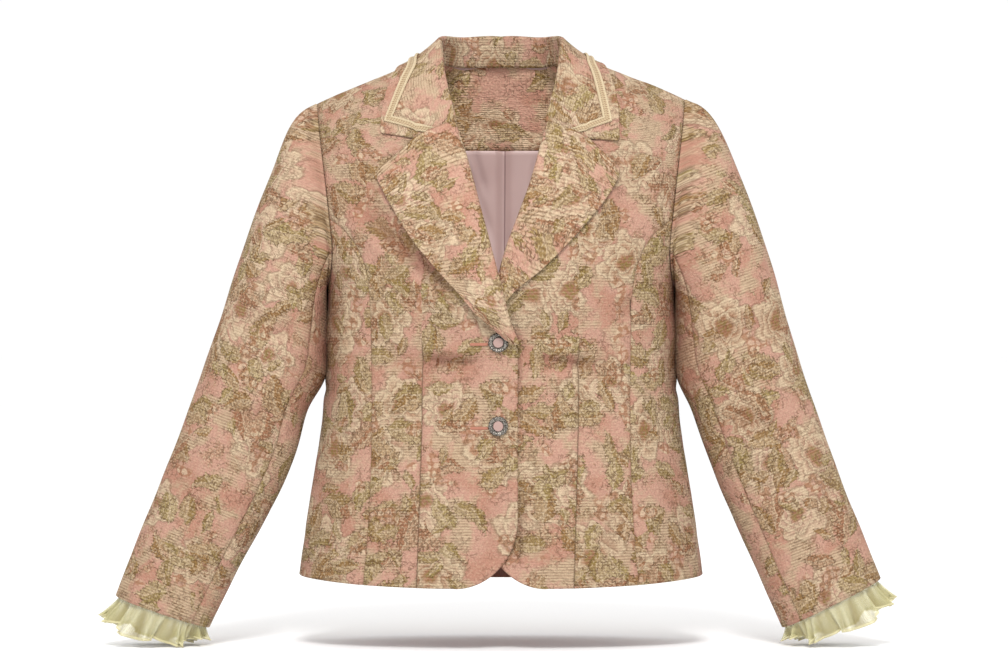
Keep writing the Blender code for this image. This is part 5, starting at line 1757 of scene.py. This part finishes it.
for name, height in BUTTON_HEIGHTS.items():
    spot = located(np.array([BUTTON_X]), np.array([height]))
    point = surface(spot)
    seat = point + normals(spot) * (front_lift(point, "right")[..., None] + BUTTON_STAND)
    mirror = np.array([-1, 1, 1])
    axis, origin = normals(spot)[0] * mirror, seat[0] * mirror
    side = unit(np.cross(axis, [0.0, 0.0, 1.0]))
    upright = np.cross(side, axis)
    angle = np.linspace(0, 2 * math.pi, 144, endpoint=False)[None]
    around = np.cos(angle)[..., None] * side + np.sin(angle)[..., None] * upright
    radius, rise = profile_steps(BUTTON_RIM, 67, 1)
    beads = bell(radius - BEAD_PLACE, BEAD_RISE, BEAD_WIDTH) * ease(rise / 0.002)
    radius = radius + SCALLOP * np.cos(BEADS * angle) * ease((radius - 0.0085) / 0.0015)
    rise = rise + np.cos(BEADS * angle) * beads
    rim_points = origin + radius[..., None] * around + rise[..., None] * axis
    rim = closed_grid(f"button_rim_{name}_metal", rim_points, silver)
    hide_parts(f"button_rim_{name}")
    radius, rise = profile_steps(BUTTON_CENTRE, 37, 1, 1)
    centre_points = origin + radius * around + rise * axis
    centre_poles = [origin + end * axis for end in BUTTON_CENTRE["height"][[0, -1]]]
    centre = closed_grid(f"button_centre_{name}_enamel", centre_points, enamel, centre_poles)
    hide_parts(f"button_centre_{name}")

    bar = located(np.linspace(BAR_FROM, BAR_TO, BAR_STEPS), np.full(BAR_STEPS, height - BAR_DROP))
    bar_points = surface(bar)
    creases = folds_at(bar_points[:, 0], bar_points[:, 2], FRONT_FOLDS["right"])
    bar_lift = front_lift(bar_points, "right") + creases + BAR_STAND
    bar_points = bar_points + normals(bar) * bar_lift[:, None]
    taper = np.sqrt(np.clip(1 - np.abs(np.linspace(-1, 1, BAR_STEPS)) ** 8, 0.02, 1))[:, None, None]
    turn = np.linspace(0, 2 * math.pi, 20, endpoint=False)[None, :, None]
    upward = BAR_HALF_HEIGHT * np.cos(turn) * np.array([0, 0, 1.0])
    forward = BAR_RISE * np.sin(turn) * normals(bar)[:, None]
    bar_grid = (bar_points[:, None] + taper * (upward + forward)) * mirror
    buttonhole = closed_grid(f"buttonhole_{name}", bar_grid, stitching, bar_points[[0, -1]] * mirror)

# The stage: a pale floor under a white studio, one broad lamp in front and above, a weak one on
# each side, and a camera straight in front at chest height.

FLOOR = cad_box[0][2] - 0.004
FLOOR_REACH = 60.0
STUDIO_LIGHT = 1.02
LAMP_AIM = (0, 0, -0.3)
CAMERA_LENS = 150.2
CAMERA_PLACE = (0.0032, -4.5, -0.2985)
LIGHTS = table(
    "x y z size watts",
    (-0.05, -3.0, 2.4, 0.9, 120.0),
    (-2.8, -2.6, 1.6, 1.8, 4.0),
    (2.8, -2.6, 1.6, 1.8, 6.0),
)

corners = FLOOR_REACH * np.array([[-1, -1], [1, -1], [1, 1], [-1, 1]])
floor_mesh = bpy.data.meshes.new("floor")
floor_mesh.from_pydata(stacked(corners[:, 0], corners[:, 1], FLOOR), [], [(0, 1, 2, 3)])
floor_look, floor_shader, _ = new_material("pale_floor")
set_inputs(floor_shader, {"Base Color": (0.99, 0.99, 0.99, 1), "Roughness": 0.9})
floor_mesh.materials.append(floor_look)
floor = bpy.data.objects.new("floor", floor_mesh)
bpy.context.scene.collection.objects.link(floor)

world = bpy.data.worlds.new("studio")
bpy.context.scene.world = world
world.use_nodes = True
background = world.node_tree.nodes["Background"]
set_inputs(background, {"Color": (1, 1, 1, 1), "Strength": STUDIO_LIGHT})

for number, (x, y, z, size, watts) in enumerate(zip(*LIGHTS.values())):
    lamp = bpy.data.lights.new(f"softbox_{number}", "AREA")
    lamp.size = size
    lamp.energy = watts
    lamp_object = bpy.data.objects.new(f"softbox_{number}", lamp)
    lamp_object.location = (x, y, z)
    aim = np.array(LAMP_AIM) - np.array([x, y, z])
    lamp_object.rotation_euler = (
        math.atan2(math.hypot(aim[0], aim[1]), -aim[2]),
        0,
        math.atan2(aim[1], aim[0]) - math.pi / 2,
    )
    bpy.context.scene.collection.objects.link(lamp_object)

camera = bpy.data.cameras.new("camera")
camera.lens = CAMERA_LENS
camera_object = bpy.data.objects.new("camera", camera)
camera_object.location = CAMERA_PLACE
camera_object.rotation_euler = (math.pi / 2, 0, 0)
bpy.context.scene.collection.objects.link(camera_object)
bpy.context.scene.camera = camera_object
bpy.context.scene.view_settings.view_transform = "Standard"
